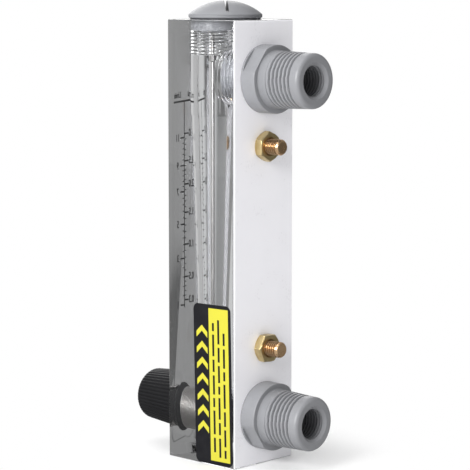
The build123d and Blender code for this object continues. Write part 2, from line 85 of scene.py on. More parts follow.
class Body(Enum):
    """The moving bodies of the frame."""

    METER = "meter_body"
    FLOAT = "float_unit"
    SEAL = "stem_seal_unit"
    KNOB = "knob_unit"


class Slot(Enum):
    """The record's material slots."""

    CLEAR = "clear_acrylic"
    SHEET = "white_sheet"
    STICKER = "sticker"
    GREY = "grey_plastic"
    WHITE = "white_plastic"
    BLACK = "black_plastic"
    RUBBER = "seal_rubber"
    STUD = "stud_brass"
    NUT = "nut_brass"
    STEEL = "stainless"


class Facing(Enum):
    """Way that the axis of a turned piece points, as a quarter turn about X."""

    UP = 0
    BACK = -1
    FRONT = 1

    def placed(self, x: float, y: float, z: float) -> Matrix:
        """Transform from the piece's own axis, Z, to this way at a point."""
        return Matrix.Translation((x, y, z)) @ Matrix.Rotation(self.value * math.pi / 2, 4, "X")


# Shader graph


class Signal:
    """A node's output socket. An expression on signals adds its Math nodes."""

    def __init__(self, graph: Graph, socket: bpy.types.NodeSocket) -> None:
        """Holds a socket and the graph that it belongs to."""
        self.graph = graph
        self.socket = socket

    def _math(self, operation: str, first: Signal | float, second: Signal | float = 0.0) -> Signal:
        """Adds one Math node."""
        return self.graph.node("ShaderNodeMath", {"operation": operation}, {0: first, 1: second})

    def __add__(self, other: Signal | float) -> Signal:
        """Sum."""
        return self._math("ADD", self, other)

    __radd__ = __add__

    def __sub__(self, other: Signal | float) -> Signal:
        """Difference."""
        return self._math("SUBTRACT", self, other)

    def __rsub__(self, other: float) -> Signal:
        """A number less this signal."""
        return self._math("SUBTRACT", other, self)

    def __mul__(self, other: Signal | float) -> Signal:
        """Product."""
        return self._math("MULTIPLY", self, other)

    __rmul__ = __mul__

    def largest(self, other: Signal | float) -> Signal:
        """The greater of two signals."""
        return self._math("MAXIMUM", self, other)

    def ramp(self, low: float, high: float) -> Signal:
        """Smooth step.

        Args:
            low: Value of the signal at which the step starts from 0.
            high: Value at which it reaches 1.

        Returns:
            Signal from 0 to 1.
        """
        settings = {"interpolation_type": "SMOOTHSTEP"}
        return self.graph.node("ShaderNodeMapRange", settings, {0: self, 1: low, 2: high})


class Graph:
    """The node tree of one material or world."""

    def __init__(self, tree: bpy.types.NodeTree) -> None:
        """Starts from an empty tree."""
        self.tree = tree
        tree.nodes.clear()

    def node(
        self,
        kind: str,
        settings: dict[str, object] | None = None,
        sockets: dict[str | int, object] | None = None,
        output: str | int | None = 0,
    ) -> Signal | None:
        """Adds any node.

        Args:
            kind: Blender's name for the node's type.
            settings: Attributes of the node, set first; "stops" holds a ramp's (place, colour) pairs.
            sockets: Values or signals for the node's inputs.
            output: Which output to return, or None for a node that ends the graph.

        Returns:
            The output as a signal.
        """
        made = self.tree.nodes.new(kind)
        for name, value in (settings or {}).items():
            if name == "stops":
                self._set_stops(made.color_ramp, value)
            else:
                setattr(made, name, value)
        for name, value in (sockets or {}).items():
            if isinstance(value, Signal):
                self.tree.links.new(value.socket, made.inputs[name])
            else:
                made.inputs[name].default_value = value
        return None if output is None else Signal(self, made.outputs[output])

    @staticmethod
    def _set_stops(ramp: bpy.types.ColorRamp, stops: Iterable[tuple[float, Colour]]) -> None:
        """Gives a colour ramp its stops."""
        for index, (place, colour) in enumerate(stops):
            stop = ramp.elements[index] if index < 2 else ramp.elements.new(place)
            stop.position = place
            stop.color = (*colour, 1.0)

    def places(self, stretch: tuple[float, float, float] = (1.0, 1.0, 1.0)) -> Signal:
        """Object coordinates in millimetres, each divided by its stretch."""
        source = self.node("ShaderNodeTexCoord", output="Object")
        scale = tuple(1 / (MM * amount) for amount in stretch)
        return self.node("ShaderNodeMapping", {}, {"Vector": source, "Scale": scale})

    def toward(self, vector: Signal, way: tuple[float, float, float]) -> Signal:
        """How far a direction points along a way, from -1 to 1."""
        unit = self.node("ShaderNodeVectorMath", {"operation": "NORMALIZE"}, {0: vector})
        return self.node("ShaderNodeVectorMath", {"operation": "DOT_PRODUCT"}, {0: unit, 1: way}, "Value")

    def noise(
        self, feature: float, detail: float = 3.0, stretch: tuple[float, float, float] = (1.0, 1.0, 1.0)
    ) -> Signal:
        """Noise from 0 to 1.

        Args:
            feature: Size of its largest lumps, in millimetres.
            detail: Number of finer layers.
            stretch: How much longer the lumps are along each axis.

        Returns:
            The noise's value.
        """
        sockets = {"Vector": self.places(stretch), "Scale": 1 / feature, "Detail": detail}
        return self.node("ShaderNodeTexNoise", {}, sockets)

    def mix(self, share: Signal | float, first: object, second: object) -> Signal:
        """Blends two colours.

        Args:
            share: How much of the second colour.
            first: Colour or signal at a share of 0.
            second: Colour or signal at a share of 1.

        Returns:
            The colour.
        """
        colours = {6: first, 7: second}
        sockets = {k: (*v, 1.0) if isinstance(v, tuple) else v for k, v in colours.items()}
        return self.node("ShaderNodeMix", {"data_type": "RGBA"}, {0: share, **sockets}, 2)

    def bump(self, height: Signal, depth: float) -> Signal:
        """Normal of a rough surface.

        Args:
            height: Height signal, 0 to 1.
            depth: Height of 1, in millimetres.

        Returns:
            The normal.
        """
        return self.node("ShaderNodeBump", {}, {"Height": height, "Distance": depth * MM}, "Normal")

    def principled(self, **sockets: object) -> Signal:
        """Principled shader with sockets given by name, spaces written as underscores."""
        values = {name.replace("_", " "): value for name, value in sockets.items()}
        values = {k: (*v, 1.0) if isinstance(v, tuple) else v for k, v in values.items()}
        return self.node("ShaderNodeBsdfPrincipled", {}, values)

    def finish(self, shader: Signal, kind: str = "ShaderNodeOutputMaterial") -> None:
        """Ends the graph in its output node."""
        self.node(kind, {}, {"Surface": shader}, None)


# Finishes


class Finish:
    """A surface treatment, which makes its material once."""

    label: str

    def shade(self, graph: Graph) -> Signal:
        """Builds the shader in a graph and returns it."""
        raise NotImplementedError

    def material(self) -> bpy.types.Material:
        """The material of this finish, made at its first use."""
        found = bpy.data.materials.get(self.label)
        if found is None:
            found = bpy.data.materials.new(self.label)
            found.use_nodes = True
            graph = Graph(found.node_tree)
            graph.finish(self.shade(graph))
        return found


@dataclass(frozen=True)
class ClearAcrylic(Finish):
    """Cast acrylic, polished or left matt by the tap."""

    label: str = "clear_acrylic_polish"
    tint: Colour = (0.985, 0.99, 0.995)
    refraction: float = 1.49
    haze: float = 0.0
    least: float = 0.0

    def shade(self, graph: Graph) -> Signal:
        """Clear glass-like body that lets the lamps' light through to what is inside it."""
        haze = graph.noise(7.0, 2.0).ramp(0.45, 0.9) * self.haze + self.least
        body = graph.principled(
            Base_Color=graph.mix(graph.noise(30.0, 1.0), self.tint, (0.975, 0.985, 0.99)),
            Roughness=haze,
            IOR=self.refraction,
            Transmission_Weight=1.0,
        )
        passing = graph.node("ShaderNodeBsdfTransparent", {}, {"Color": (0.76, 0.77, 0.79, 1.0)})
        from_lamp = graph.node("ShaderNodeLightPath", output="Is Shadow Ray")
        return graph.node("ShaderNodeMixShader", {}, {0: from_lamp, 1: body, 2: passing})


@dataclass(frozen=True)
class Plastic(Finish):
    """Moulded plastic with a fine skin and slow changes of tone."""

    label: str
    colour: Colour
    roughness: float = 0.45
    mottle: float = 0.06
    grain_size: float = 0.35
    grain_depth: float = 0.006
    sheen: float = 0.5

    def shade(self, graph: Graph) -> Signal:
        """Colour, roughness and skin from noise at three sizes."""
        slow = graph.noise(9.0, 4.0)
        fine = graph.noise(self.grain_size, 3.0)
        dark = tuple(c * (1 - self.mottle) for c in self.colour)
        light = tuple(min(1.0, c * (1 + self.mottle)) for c in self.colour)
        tone = (slow * 0.75 + fine * 0.25).ramp(0.3, 0.7)
        return graph.principled(
            Base_Color=graph.mix(tone, dark, light),
            Roughness=self.roughness + (fine - 0.5) * 0.12 + (slow - 0.5) * 0.1,
            Specular_IOR_Level=self.sheen,
            Normal=graph.bump(fine, self.grain_depth),
        )


@dataclass(frozen=True)
class TurnedMetal(Finish):
    """Machined metal: fine tool marks, stained a little in patches."""

    label: str
    colour: Colour
    stain: Colour
    roughness: float = 0.24
    mark_depth: float = 0.001

    def shade(self, graph: Graph) -> Signal:
        """Metal whose stain, gloss and marks come from noise."""
        patches = graph.noise(4.0, 3.0).ramp(0.42, 0.72)
        marks = graph.noise(0.12, 2.0)
        return graph.principled(
            Base_Color=graph.mix(patches * 0.6, self.colour, self.stain),
            Metallic=1.0,
            Roughness=self.roughness + patches * 0.12 + (marks - 0.5) * 0.1,
            Normal=graph.bump(marks, self.mark_depth),
        )


@dataclass(frozen=True)
class Film(Finish):
    """Printed plastic film with a faint orange peel."""

    label: str
    colour: Colour
    roughness: float = 0.35
    sheen: float = 0.25

    def shade(self, graph: Graph) -> Signal:
        """Even ink whose gloss wanders slightly."""
        peel = graph.noise(0.8, 3.0)
        worn = tuple(c * 0.93 + 0.01 for c in self.colour)
        return graph.principled(
            Base_Color=graph.mix(graph.noise(5.0, 5.0).ramp(0.4, 0.8) * 0.5, self.colour, worn),
            Roughness=self.roughness + (peel - 0.5) * 0.1,
            Specular_IOR_Level=self.sheen,
            Normal=graph.bump(peel, 0.003),
        )


@dataclass(frozen=True)
class Rubber(Finish):
    """Black seal rubber with a mould bloom."""

    label: str = "seal_rubber_bloom"
    colour: Colour = (0.008, 0.008, 0.009)
    bloom: Colour = (0.02, 0.02, 0.022)

    def shade(self, graph: Graph) -> Signal:
        """Dark and matt, with paler bloom."""
        bloom = graph.noise(1.4, 4.0).ramp(0.5, 0.8)
        return graph.principled(
            Base_Color=graph.mix(bloom * 0.5, self.colour, self.bloom),
            Roughness=0.5 + bloom * 0.15,
            Specular_IOR_Level=0.2,
            Normal=graph.bump(graph.noise(0.25, 2.0), 0.005),
        )


ACRYLIC = ClearAcrylic()
TAPPED_ACRYLIC = ClearAcrylic("clear_acrylic_tapped", haze=0.04, least=0.16)
WHITE_SHEET = Plastic("white_sheet_gloss", (0.89, 0.885, 0.92), 0.3, 0.01, 0.9, 0.002)
GREY_PLASTIC = Plastic("grey_plastic_skin", (0.218, 0.221, 0.234), 0.42, 0.05, 0.4, 0.006)
WHITE_PLASTIC = Plastic("white_plastic_skin", (0.74, 0.74, 0.72), 0.4, 0.03)
BLACK_PLASTIC = Plastic("black_plastic_skin", (0.007, 0.007, 0.008), 0.4, 0.15, 0.3, 0.006, 0.15)
STUD_BRASS = TurnedMetal("stud_brass_turned", (0.84, 0.57, 0.33), (0.66, 0.40, 0.20), 0.18)
NUT_BRASS = TurnedMetal("nut_brass_turned", (0.66, 0.53, 0.28), (0.42, 0.31, 0.13), 0.34)
STAINLESS = TurnedMetal("stainless_turned", (0.66, 0.645, 0.63), (0.60, 0.585, 0.57), 0.2)
# Darker grey for the roots of the fittings' outer threads: painted shade in the grooves.
GREY_PAINTED_SHADE = Plastic("grey_plastic_groove_painted_shade", (0.125, 0.127, 0.137), 0.5, 0.05, 0.4, 0.006, 0.3)
# Darker brass for the roots of the studs' threads: partly their oxide, partly painted shade in the grooves.
BRASS_OXIDE_AND_SHADE = TurnedMetal("stud_brass_groove_oxide_and_shade", (0.34, 0.19, 0.08), (0.22, 0.12, 0.05), 0.45)
DULL_STEEL = TurnedMetal("stainless_dull", (0.50, 0.485, 0.47), (0.42, 0.41, 0.40), 0.36)
RUBBER = Rubber()
GASKET = Rubber("gasket_rubber_bloom", (0.07, 0.07, 0.076), (0.10, 0.10, 0.105))
BLACK_FILM = Film("sticker_black_film", (0.009, 0.009, 0.011), sheen=0.15)
YELLOW_FILM = Film("sticker_yellow_film", (0.49, 0.455, 0.036))
SCALE_INK = Film("scale_black_ink", (0.004, 0.004, 0.005), 0.45, 0.1)


# Shapes


@dataclass(frozen=True)
class Thread:
    """A screw thread cut in a turned surface between two heights."""

    start: float
    end: float
    pitch: float
    depth: float
    crest: float = 0.14
    root: float = 0.14
    run_out: float = 0.8

    def cut_at(self, height: float, angle: float) -> float:
        """Depth of the groove.

        Args:
            height: Distance along the axis.
            angle: Angle about the axis, in radians.

        Returns:
            Depth below the thread's crest.
        """
        fade = min(1.0, max(0.0, min(height - self.start, self.end - height) / self.run_out))
        phase = (height / self.pitch - angle / math.tau) % 1.0
        flank = (1.0 - abs(2.0 * phase - 1.0) - self.crest) / (1.0 - self.crest - self.root)
        return self.depth * fade * min(1.0, max(0.0, flank))

    def rings(self, each: int = 14) -> list[float]:
        """Heights of the rings that carry the thread, with so many for each pitch."""
        count = math.ceil((self.end - self.start) / self.pitch * each)
        return [self.start + (self.end - self.start) * i / count for i in range(count + 1)]


def arc(
    centre: tuple[float, float], radius: float, start: float, end: float, steps: int
) -> list[tuple[float, float]]:
    """Points on a round stretch of an outline.

    Args:
        centre: Centre as (radius from the axis, height).
        radius: The arc's own radius.
        start: First angle in degrees, 0 being outwards and 90 up.
        end: Last angle in degrees.
        steps: Number of stretches.

    Returns:
        The points, both ends included.
    """
    angles = [math.radians(start + (end - start) * i / steps) for i in range(steps + 1)]
    return [(centre[0] + radius * math.cos(a), centre[1] + radius * math.sin(a)) for a in angles]


def tapped_wall(start: float, end: float, pitch: float, crest: float, root: float) -> Outline:
    """Zigzag wall of a tapped hole, with ring grooves.

    Args:
        start: Distance at which the thread starts.
        end: Distance at which it ends.
        pitch: Distance between grooves.
        crest: Diameter over the crests, which stand inwards.
        root: Diameter over the roots.

    Returns:
        Outline points as (radius, distance).
    """
    count = round(abs(end - start) / pitch)
    step = (end - start) / count
    points = []
    for index in range(count):
        at = start + index * step
        points += [(crest / 2, at), (crest / 2, at + 0.12 * step), (root / 2, at + 0.5 * step)]
        points.append((root / 2, at + 0.62 * step))
    return [*points, (crest / 2, end)]


class Shape:
    """A mesh in millimetres, made by bmesh operators and handed over as one placed piece."""

    def __init__(self) -> None:
        """Starts empty."""
        self.mesh = bmesh.new()

    def turn(self, outline: Outline, steps: int = 120, closed: bool = False, first: float = 0.0) -> Shape:
        """Spins an outline about Z.

        Args:
            outline: Points as (radius, height).
            steps: Number of facets round the axis.
            closed: Whether the last point joins the first, as on a ring.
            first: Angle of the first facet's edge, in degrees.

        Returns:
            This shape.
        """
        angle = math.radians(first)
        cos, sin = math.cos(angle), math.sin(angle)
        points = [self.mesh.verts.new((r * cos, r * sin, h)) for r, h in outline]
        pairs = list(zip(points, points[1:]))
        if closed:
            pairs.append((points[-1], points[0]))
        edges = [self.mesh.edges.new(pair) for pair in pairs]
        bmesh.ops.spin(
            self.mesh,
            geom=points + edges,
            cent=(0, 0, 0),
            axis=(0, 0, 1),
            angle=math.tau,
            steps=steps,
            use_merge=True,
        )
        return self.clean()

    def block(self, low: Vector, high: Vector) -> Shape:
        """Adds a box between two corners."""
        size = high - low
        place = Matrix.Translation((low + high) / 2) @ Matrix.Diagonal((*size, 1.0))
        bmesh.ops.create_cube(self.mesh, size=1.0, matrix=place)
        return self

    def add(self, other: Shape) -> Shape:
        """Takes over another shape's mesh."""
        data = bpy.data.meshes.new("joined")
        other.mesh.to_mesh(data)
        other.mesh.free()
        self.mesh.from_mesh(data)
        bpy.data.meshes.remove(data)
        return self

    def clean(self) -> Shape:
        """Merges doubles and turns every face outwards."""
        bmesh.ops.remove_doubles(self.mesh, verts=self.mesh.verts, dist=1e-5)
        bmesh.ops.recalc_face_normals(self.mesh, faces=self.mesh.faces)
        return self

    def soften(
        self,
        offset: float,
        segments: int = 2,
        angle: float = 40.0,
        where: Callable[[Vector], bool] = lambda _: True,
    ) -> Shape:
        """Rounds the sharp edges.

        Args:
            offset: Width taken off each side.
            segments: Facets across each rounding.
            angle: Only edges sharper than this are rounded, in degrees.
            where: Says of an edge's middle whether it is rounded.

        Returns:
            This shape.
        """
        limit = math.radians(angle)
        sharp = [
            e
            for e in self.mesh.edges
            if e.calc_face_angle(0.0) > limit and where((e.verts[0].co + e.verts[1].co) / 2)
        ]
        bmesh.ops.bevel(
            self.mesh,
            geom=sharp,
            offset=offset,
            segments=segments,
            affect="EDGES",
            profile=0.5,
            material=-1,
            clamp_overlap=True,
        )
        return self

    def screw(self, thread: Thread, outside: bool = True, reach: tuple[float, float] = (0.0, 1e9)) -> Shape:
        """Cuts a thread into the rings that lie in its stretch.

        Args:
            thread: The thread.
            outside: Whether it is on an outer wall, so that grooves go inwards.
            reach: Least and greatest radius of the wall that is cut.

        Returns:
            This shape.
        """
        for point in self.mesh.verts:
            x, y, height = point.co
            radius = math.hypot(x, y)
            if thread.start <= height <= thread.end and reach[0] < radius < reach[1]:
                cut = thread.cut_at(height, math.atan2(y, x))
                share = (radius - cut if outside else radius + cut) / radius
                point.co.x = x * share
                point.co.y = y * share
        return self

    def hexagon(self, across_flats: float, turn: float, low: float, high: float) -> Shape:
        """Cuts six flats between two heights.

        Args:
            across_flats: Distance over opposite flats.
            turn: Angle of a flat's middle, in degrees.
            low: Height at which the flats start.
            high: Height at which they end.

        Returns:
            This shape.
        """
        for index in range(6):
            self.flat(across_flats / 2, turn + 60.0 * index, low, high)
        return self

    def flat(self, distance: float, angle: float, low: float, high: float) -> Shape:
        """Moves what lies beyond a plane along the axis back onto it.

        Args:
            distance: Distance of the flat from the axis.
            angle: Angle of the flat's middle, in degrees.
            low: Height at which the flat starts.
            high: Height at which it ends.

        Returns:
            This shape.
        """
        out = Vector((math.cos(math.radians(angle)), math.sin(math.radians(angle)), 0.0))
        for point in self.mesh.verts:
            beyond = point.co.dot(out) - distance
            if beyond > 0 and low <= point.co.z <= high:
                radius = math.hypot(point.co.x, point.co.y)
                share = distance / (distance + beyond)
                if radius > 0:
                    point.co.x *= share
                    point.co.y *= share
        return self

    def place(self, matrix: Matrix) -> Shape:
        """Moves the whole shape."""
        bmesh.ops.transform(self.mesh, matrix=matrix, verts=self.mesh.verts)
        return self

    def piece(self, name: str, smooth_below: float = 32.0) -> bpy.types.Object:
        """Hands the shape over as an object at the origin, in metres.

        Args:
            name: Name of the object.
            smooth_below: Edges flatter than this are shaded smooth, in degrees.

        Returns:
            The object, linked to the scene.
        """
        bmesh.ops.scale(self.mesh, vec=(MM, MM, MM), verts=self.mesh.verts)
        limit = math.radians(smooth_below)
        for face in self.mesh.faces:
            face.smooth = True
        for edge in self.mesh.edges:
            edge.smooth = edge.calc_face_angle(0.0) < limit
        data = bpy.data.meshes.new(name)
        self.mesh.to_mesh(data)
        self.mesh.free()
        made = bpy.data.objects.new(name, data)
        bpy.context.scene.collection.objects.link(made)
        return made


def cut_out(block: bpy.types.Object, cutters: Iterable[bpy.types.Object]) -> None:
    """Cuts closed shapes out of a block and removes them from the scene.

    Args:
        block: The object that is cut.
        cutters: The objects that are cut out of it.
    """
    cutters = list(cutters)
    for cutter in cutters:
        step = block.modifiers.new("cut", "BOOLEAN")
        step.operation = "DIFFERENCE"
        step.solver = "EXACT"
        step.object = cutter
    bpy.context.view_layer.update()
    result = block.evaluated_get(bpy.context.evaluated_depsgraph_get())
    cut = bpy.data.meshes.new_from_object(result)
    block.modifiers.clear()
    old = block.data
    block.data = cut
    bpy.data.meshes.remove(old)
    for cutter in cutters:
        bpy.data.objects.remove(cutter)


def shade_by_angle(piece: bpy.types.Object, smooth_below: float) -> None:
    """Shades a piece smooth, apart from edges sharper than an angle in degrees."""
    shape = bmesh.new()
    shape.from_mesh(piece.data)
    bmesh.ops.remove_doubles(shape, verts=shape.verts, dist=1e-7)
    for face in shape.faces:
        face.smooth = True
    for edge in shape.edges:
        edge.smooth = edge.calc_face_angle(0.0) < math.radians(smooth_below)
    shape.to_mesh(piece.data)
    shape.free()


def dress(
    piece: bpy.types.Object, body: Body, slot: Slot, finishes: Finish | Sequence[Finish], *nodes: str
) -> bpy.types.Object:
    """Gives a piece its finish, its body and the nodes that it stands for.

    Args:
        piece: The piece, in place.
        body: Body that it rides on.
        slot: The record's slot for its finish; not used.
        finishes: One finish, or one for each material index of its faces.
        nodes: Nodes of the frame that it replaces.

    Returns:
        The piece.
    """
    finishes = [finishes] if isinstance(finishes, Finish) else list(finishes)
    piece.data.materials.clear()
    for finish in finishes:
        piece.data.materials.append(finish.material())
    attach(piece, body.value)
    if nodes:
        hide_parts(*nodes)
    LOG.info("%s: %d faces on %s", piece.name, len(piece.data.polygons), body.value)
    return piece


def paint_groove_shade(piece: bpy.types.Object, z: float, radius: float, reach: tuple[float, float]) -> None:
    """Gives a thread's roots the piece's second finish, a darker colour: painted shade in the roots, and on brass
    also their oxide.

    Args:
        piece: The piece, whose axis runs along Y.
        z: Height of its axis.
        radius: Radius below which a face belongs to a root.
        reach: Where the thread starts and ends along Y.
    """
    for face in piece.data.polygons:
        centre = face.center / MM
        low = math.hypot(centre.x, centre.z - z) < radius
        if low and reach[0] < centre.y < reach[1]:
            face.material_index = 1


def repaint(frame: dict[str, object], node: str, finish: Finish) -> None:
    """Gives a node of the frame, whose shape is kept, its finish.

    Args:
        frame: The loaded frame.
        node: Name of the node.
        finish: Its finish.
    """
    piece = frame["nodes"][node]
    piece.data.materials.clear()
    piece.data.materials.append(finish.material())
    LOG.info("%s: kept, %s", node, finish.label)


def corners(node: str) -> tuple[Vector, Vector]:
    """Lowest and highest corner of a node of the frame, in millimetres."""
    low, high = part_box(node)
    return low / MM, high / MM


def middle(node: str) -> Vector:
    """Centre of a node's box, in millimetres."""
    low, high = corners(node)
    return (low + high) / 2


# Sub-assemblies


PORT_WALL = tapped_wall(1.8, 13.8, 1.814, 18.9, 20.9)
BONNET_WALL = tapped_wall(2.05, 12.0, 0.9, 14.9, 15.9)


@dataclass(frozen=True)
class TappedHole:
    """Where the wall of a hole is tapped, in the frame."""

    along: int
    centre: Vector
    start: float
    end: float
    crest: float
    root: float
    slack: float = 0.05

    def holds(self, point: Vector) -> bool:
        """Whether a point lies on the tapped wall."""
        away = point - self.centre
        distance = away[self.along]
        away[self.along] = 0.0
        wide = self.crest / 2 - self.slack <= away.length <= self.root / 2 + self.slack
        return wide and self.start <= distance <= self.end


@dataclass
class AcrylicBlock:
    """The clear block with its bores, cut in one mesh so that light bends through true walls."""

    edge: float = 0.45
    bond: float = 0.04
    passage: float = 8.5
    taper_bottom: float = 11.2
    taper_top: float = 18.3
    chamber: float = 19.2
    top_thread_depth: float = 13.5
    top_thread_crest: float = 18.75
    top_thread_root: float = 19.4
    top_pitch: float = 1.25
    shank: float = 18.9
    ledge_below_port: float = 14.3
    port_depth: float = 13.8
    seal_pocket: float = 24.3
    valve_cavity: float = 12.5
    valve_cavity_depth: float = 17.7
    bonnet_pocket: float = 18.65
    seat: float = 6.0
    stud_hole: float = 5.3
    stud_depth: float = 6.6
    over: float = 1.0
    low: Vector = field(default_factory=lambda: corners("acrylic_body")[0])
    high: Vector = field(default_factory=lambda: corners("acrylic_body")[1])

    def bore(self) -> bpy.types.Object:
        """Upright way: passage, holder seat, taper, chamber and the plug's thread."""
        top = self.high.z
        port = middle("upper_fitting").z
        inlet = middle("lower_fitting").z
        seat = corners("rod_holder")[0].z
        ledge = port - self.ledge_below_port
        thread = top - self.top_thread_depth
        shank = corners("top_plug")[0].z
        outline = [
            (0, inlet),
            (self.passage / 2, inlet),
            (self.passage / 2, seat),
            (self.taper_bottom / 2, seat),
            (self.taper_bottom / 2, corners("rod_holder")[1].z),
            (self.taper_top / 2, ledge),
            (self.chamber / 2, ledge),
            (self.chamber / 2, thread),
            *tapped_wall(thread, shank, self.top_pitch, self.top_thread_crest, self.top_thread_root),
            (self.shank / 2, shank),
            (self.shank / 2, top + self.over),
            (0, top + self.over),
        ]
        rod = middle("guide_rod")
        return Shape().turn(outline, 128).place(Facing.UP.placed(rod.x, rod.y, 0)).piece("cut_bore")

    def port(self, z: float) -> bpy.types.Object:
        """Tapped port from the back."""
        back = corners("white_backing")[1].y
        pocket = self.seal_pocket / 2
        outline = [
            (0, -self.over),
            (pocket, -self.over),
            (pocket, PORT_WALL[0][1]),
            *PORT_WALL,
            (0, self.port_depth),
        ]
        return Shape().turn(outline, 128).place(Facing.FRONT.placed(0, back, z)).piece("cut_port")

    def valve(self, z: float) -> bpy.types.Object:
        """Way in from the front for the bonnet, the stem and the needle."""
        cavity = self.valve_cavity / 2
        pocket = self.bonnet_pocket / 2
        end = self.high.y - self.low.y - self.port_depth + self.over
        outline = [
            (0, -self.over),
            (pocket, -self.over),
            (pocket, 0),
            *BONNET_WALL,
            (cavity, BONNET_WALL[-1][1]),
            (cavity, self.valve_cavity_depth),
            (self.seat / 2, self.valve_cavity_depth),
            (self.seat / 2, end),
            (0, end),
        ]
        return Shape().turn(outline, 128).place(Facing.BACK.placed(0, self.low.y, z)).piece("cut_valve")

    def stud_socket(self, z: float) -> bpy.types.Object:
        """Blind hole for a stud."""
        back = corners("white_backing")[1].y
        radius = self.stud_hole / 2
        outline = [(0, -self.over), (radius, -self.over), (radius, self.stud_depth), (0, self.stud_depth)]
        return Shape().turn(outline, 48).place(Facing.FRONT.placed(0, back, z)).piece("cut_stud")

    def tapped_holes(self) -> list[TappedHole]:
        """The threads whose walls show as cut."""
        top, back = self.high.z, corners("white_backing")[1].y
        rod, plug = middle("guide_rod"), corners("top_plug")[0].z
        crest, root = self.top_thread_crest, self.top_thread_root
        holes = [TappedHole(2, Vector((rod.x, rod.y, 0)), top - self.top_thread_depth, plug, crest, root)]
        for node in ("lower_fitting", "upper_fitting"):
            centre = Vector((0, back, middle(node).z))
            holes.append(TappedHole(1, centre, -PORT_WALL[-1][1], -PORT_WALL[0][1], 18.9, 20.9))
        return holes

    def build(self) -> None:
        """Makes the block and cuts every hole."""
        high = Vector((self.high.x, self.high.y + self.bond, self.high.z))
        block = Shape().block(self.low, high).soften(self.edge, 3).piece("acrylic_block")
        cutters = [self.bore(), self.valve(middle("lower_fitting").z)]
        cutters += [self.port(middle(node).z) for node in ("lower_fitting", "upper_fitting")]
        cutters += [self.stud_socket(middle(node).z) for node in ("lower_stud", "upper_stud")]
        cut_out(block, cutters)
        shade_by_angle(block, 32.0)
        dress(block, Body.METER, Slot.CLEAR, (ACRYLIC, TAPPED_ACRYLIC), "acrylic_body")
        holes = self.tapped_holes()
        for face in block.data.polygons:
            face.material_index = int(any(hole.holds(face.center / MM) for hole in holes))


@dataclass
class TopPlug:
    """Domed cap with a screwdriver slot and a threaded shank, and the gasket under its rim."""

    rim_rounding: float = 0.4
    shank: float = 18.94
    shank_chamfer: float = 0.3
    rim_height: float = 1.3
    rim_step: float = 0.12
    slot_width: float = 1.2
    slot_depth: float = 3.9
    slot_angle: float = 47.3
    rod_socket: float = 2.6
    rod_socket_depth: float = 3.0

    def cap(self) -> bpy.types.Object:
        """The plug itself."""
        low, high = corners("top_plug")
        rim_z = corners("top_plug_gasket")[1].z
        radius = (high.x - low.x) / 2
        shoulder = rim_z + self.rim_height
        rise = high.z - shoulder
        sphere = (radius**2 + rise**2) / (2 * rise)
        lean = math.degrees(math.acos(radius / sphere))
        dome = arc((0.0, high.z - sphere), sphere, lean, 90.0, 40)
        outline = [
            (0, low.z + self.rod_socket_depth),
            (self.rod_socket / 2, low.z + self.rod_socket_depth),
            (self.rod_socket / 2, low.z),
            (self.shank / 2 - self.shank_chamfer, low.z),
            (self.shank / 2, low.z + self.shank_chamfer),
            (self.shank / 2, rim_z),
            (radius - self.rim_rounding, rim_z),
            *arc((radius - self.rim_rounding, rim_z + self.rim_rounding), self.rim_rounding, -90, 0, 4)[1:],
            (radius, shoulder - self.rim_step),
            (radius - self.rim_step, shoulder - self.rim_step / 2),
            *dome[:-1],
            (0, high.z),
        ]
        centre = middle("guide_rod")
        shape = Shape().turn(outline, 160)
        shape.place(Facing.UP.placed(centre.x, centre.y, 0))
        piece = shape.piece("top_plug_cap")
        reach = Vector((radius + 1, self.slot_width / 2, self.slot_depth))
        slot = Shape().block(Vector((-reach.x, -reach.y, -reach.z)), Vector((reach.x, reach.y, 2.0)))
        turn = Matrix.Rotation(math.radians(self.slot_angle), 4, "Z")
        slot.place(Matrix.Translation((centre.x, centre.y, high.z)) @ turn)
        cut_out(piece, [slot.piece("cut_slot")])
        shade_by_angle(piece, 32.0)
        return piece

    def gasket(self) -> bpy.types.Object:
        """Flat gasket with a rounded rim."""
        low, high = corners("top_plug_gasket")
        outer = (high.x - low.x) / 2
        half = (high.z - low.z) / 2
        inner = self.shank / 2
        outline = [(inner, high.z), (inner, low.z), *arc((outer - half, low.z + half), half, -90, 90, 6)]
        centre = middle("top_plug_gasket")
        shape = Shape().turn(outline, 96, closed=True)
        return shape.place(Facing.UP.placed(centre.x, centre.y, 0)).piece("top_plug_seal")

    def build(self) -> None:
        """Makes and dresses both."""
        dress(self.cap(), Body.METER, Slot.GREY, GREY_PLASTIC, "top_plug")
        dress(self.gasket(), Body.METER, Slot.RUBBER, GASKET, "top_plug_gasket")


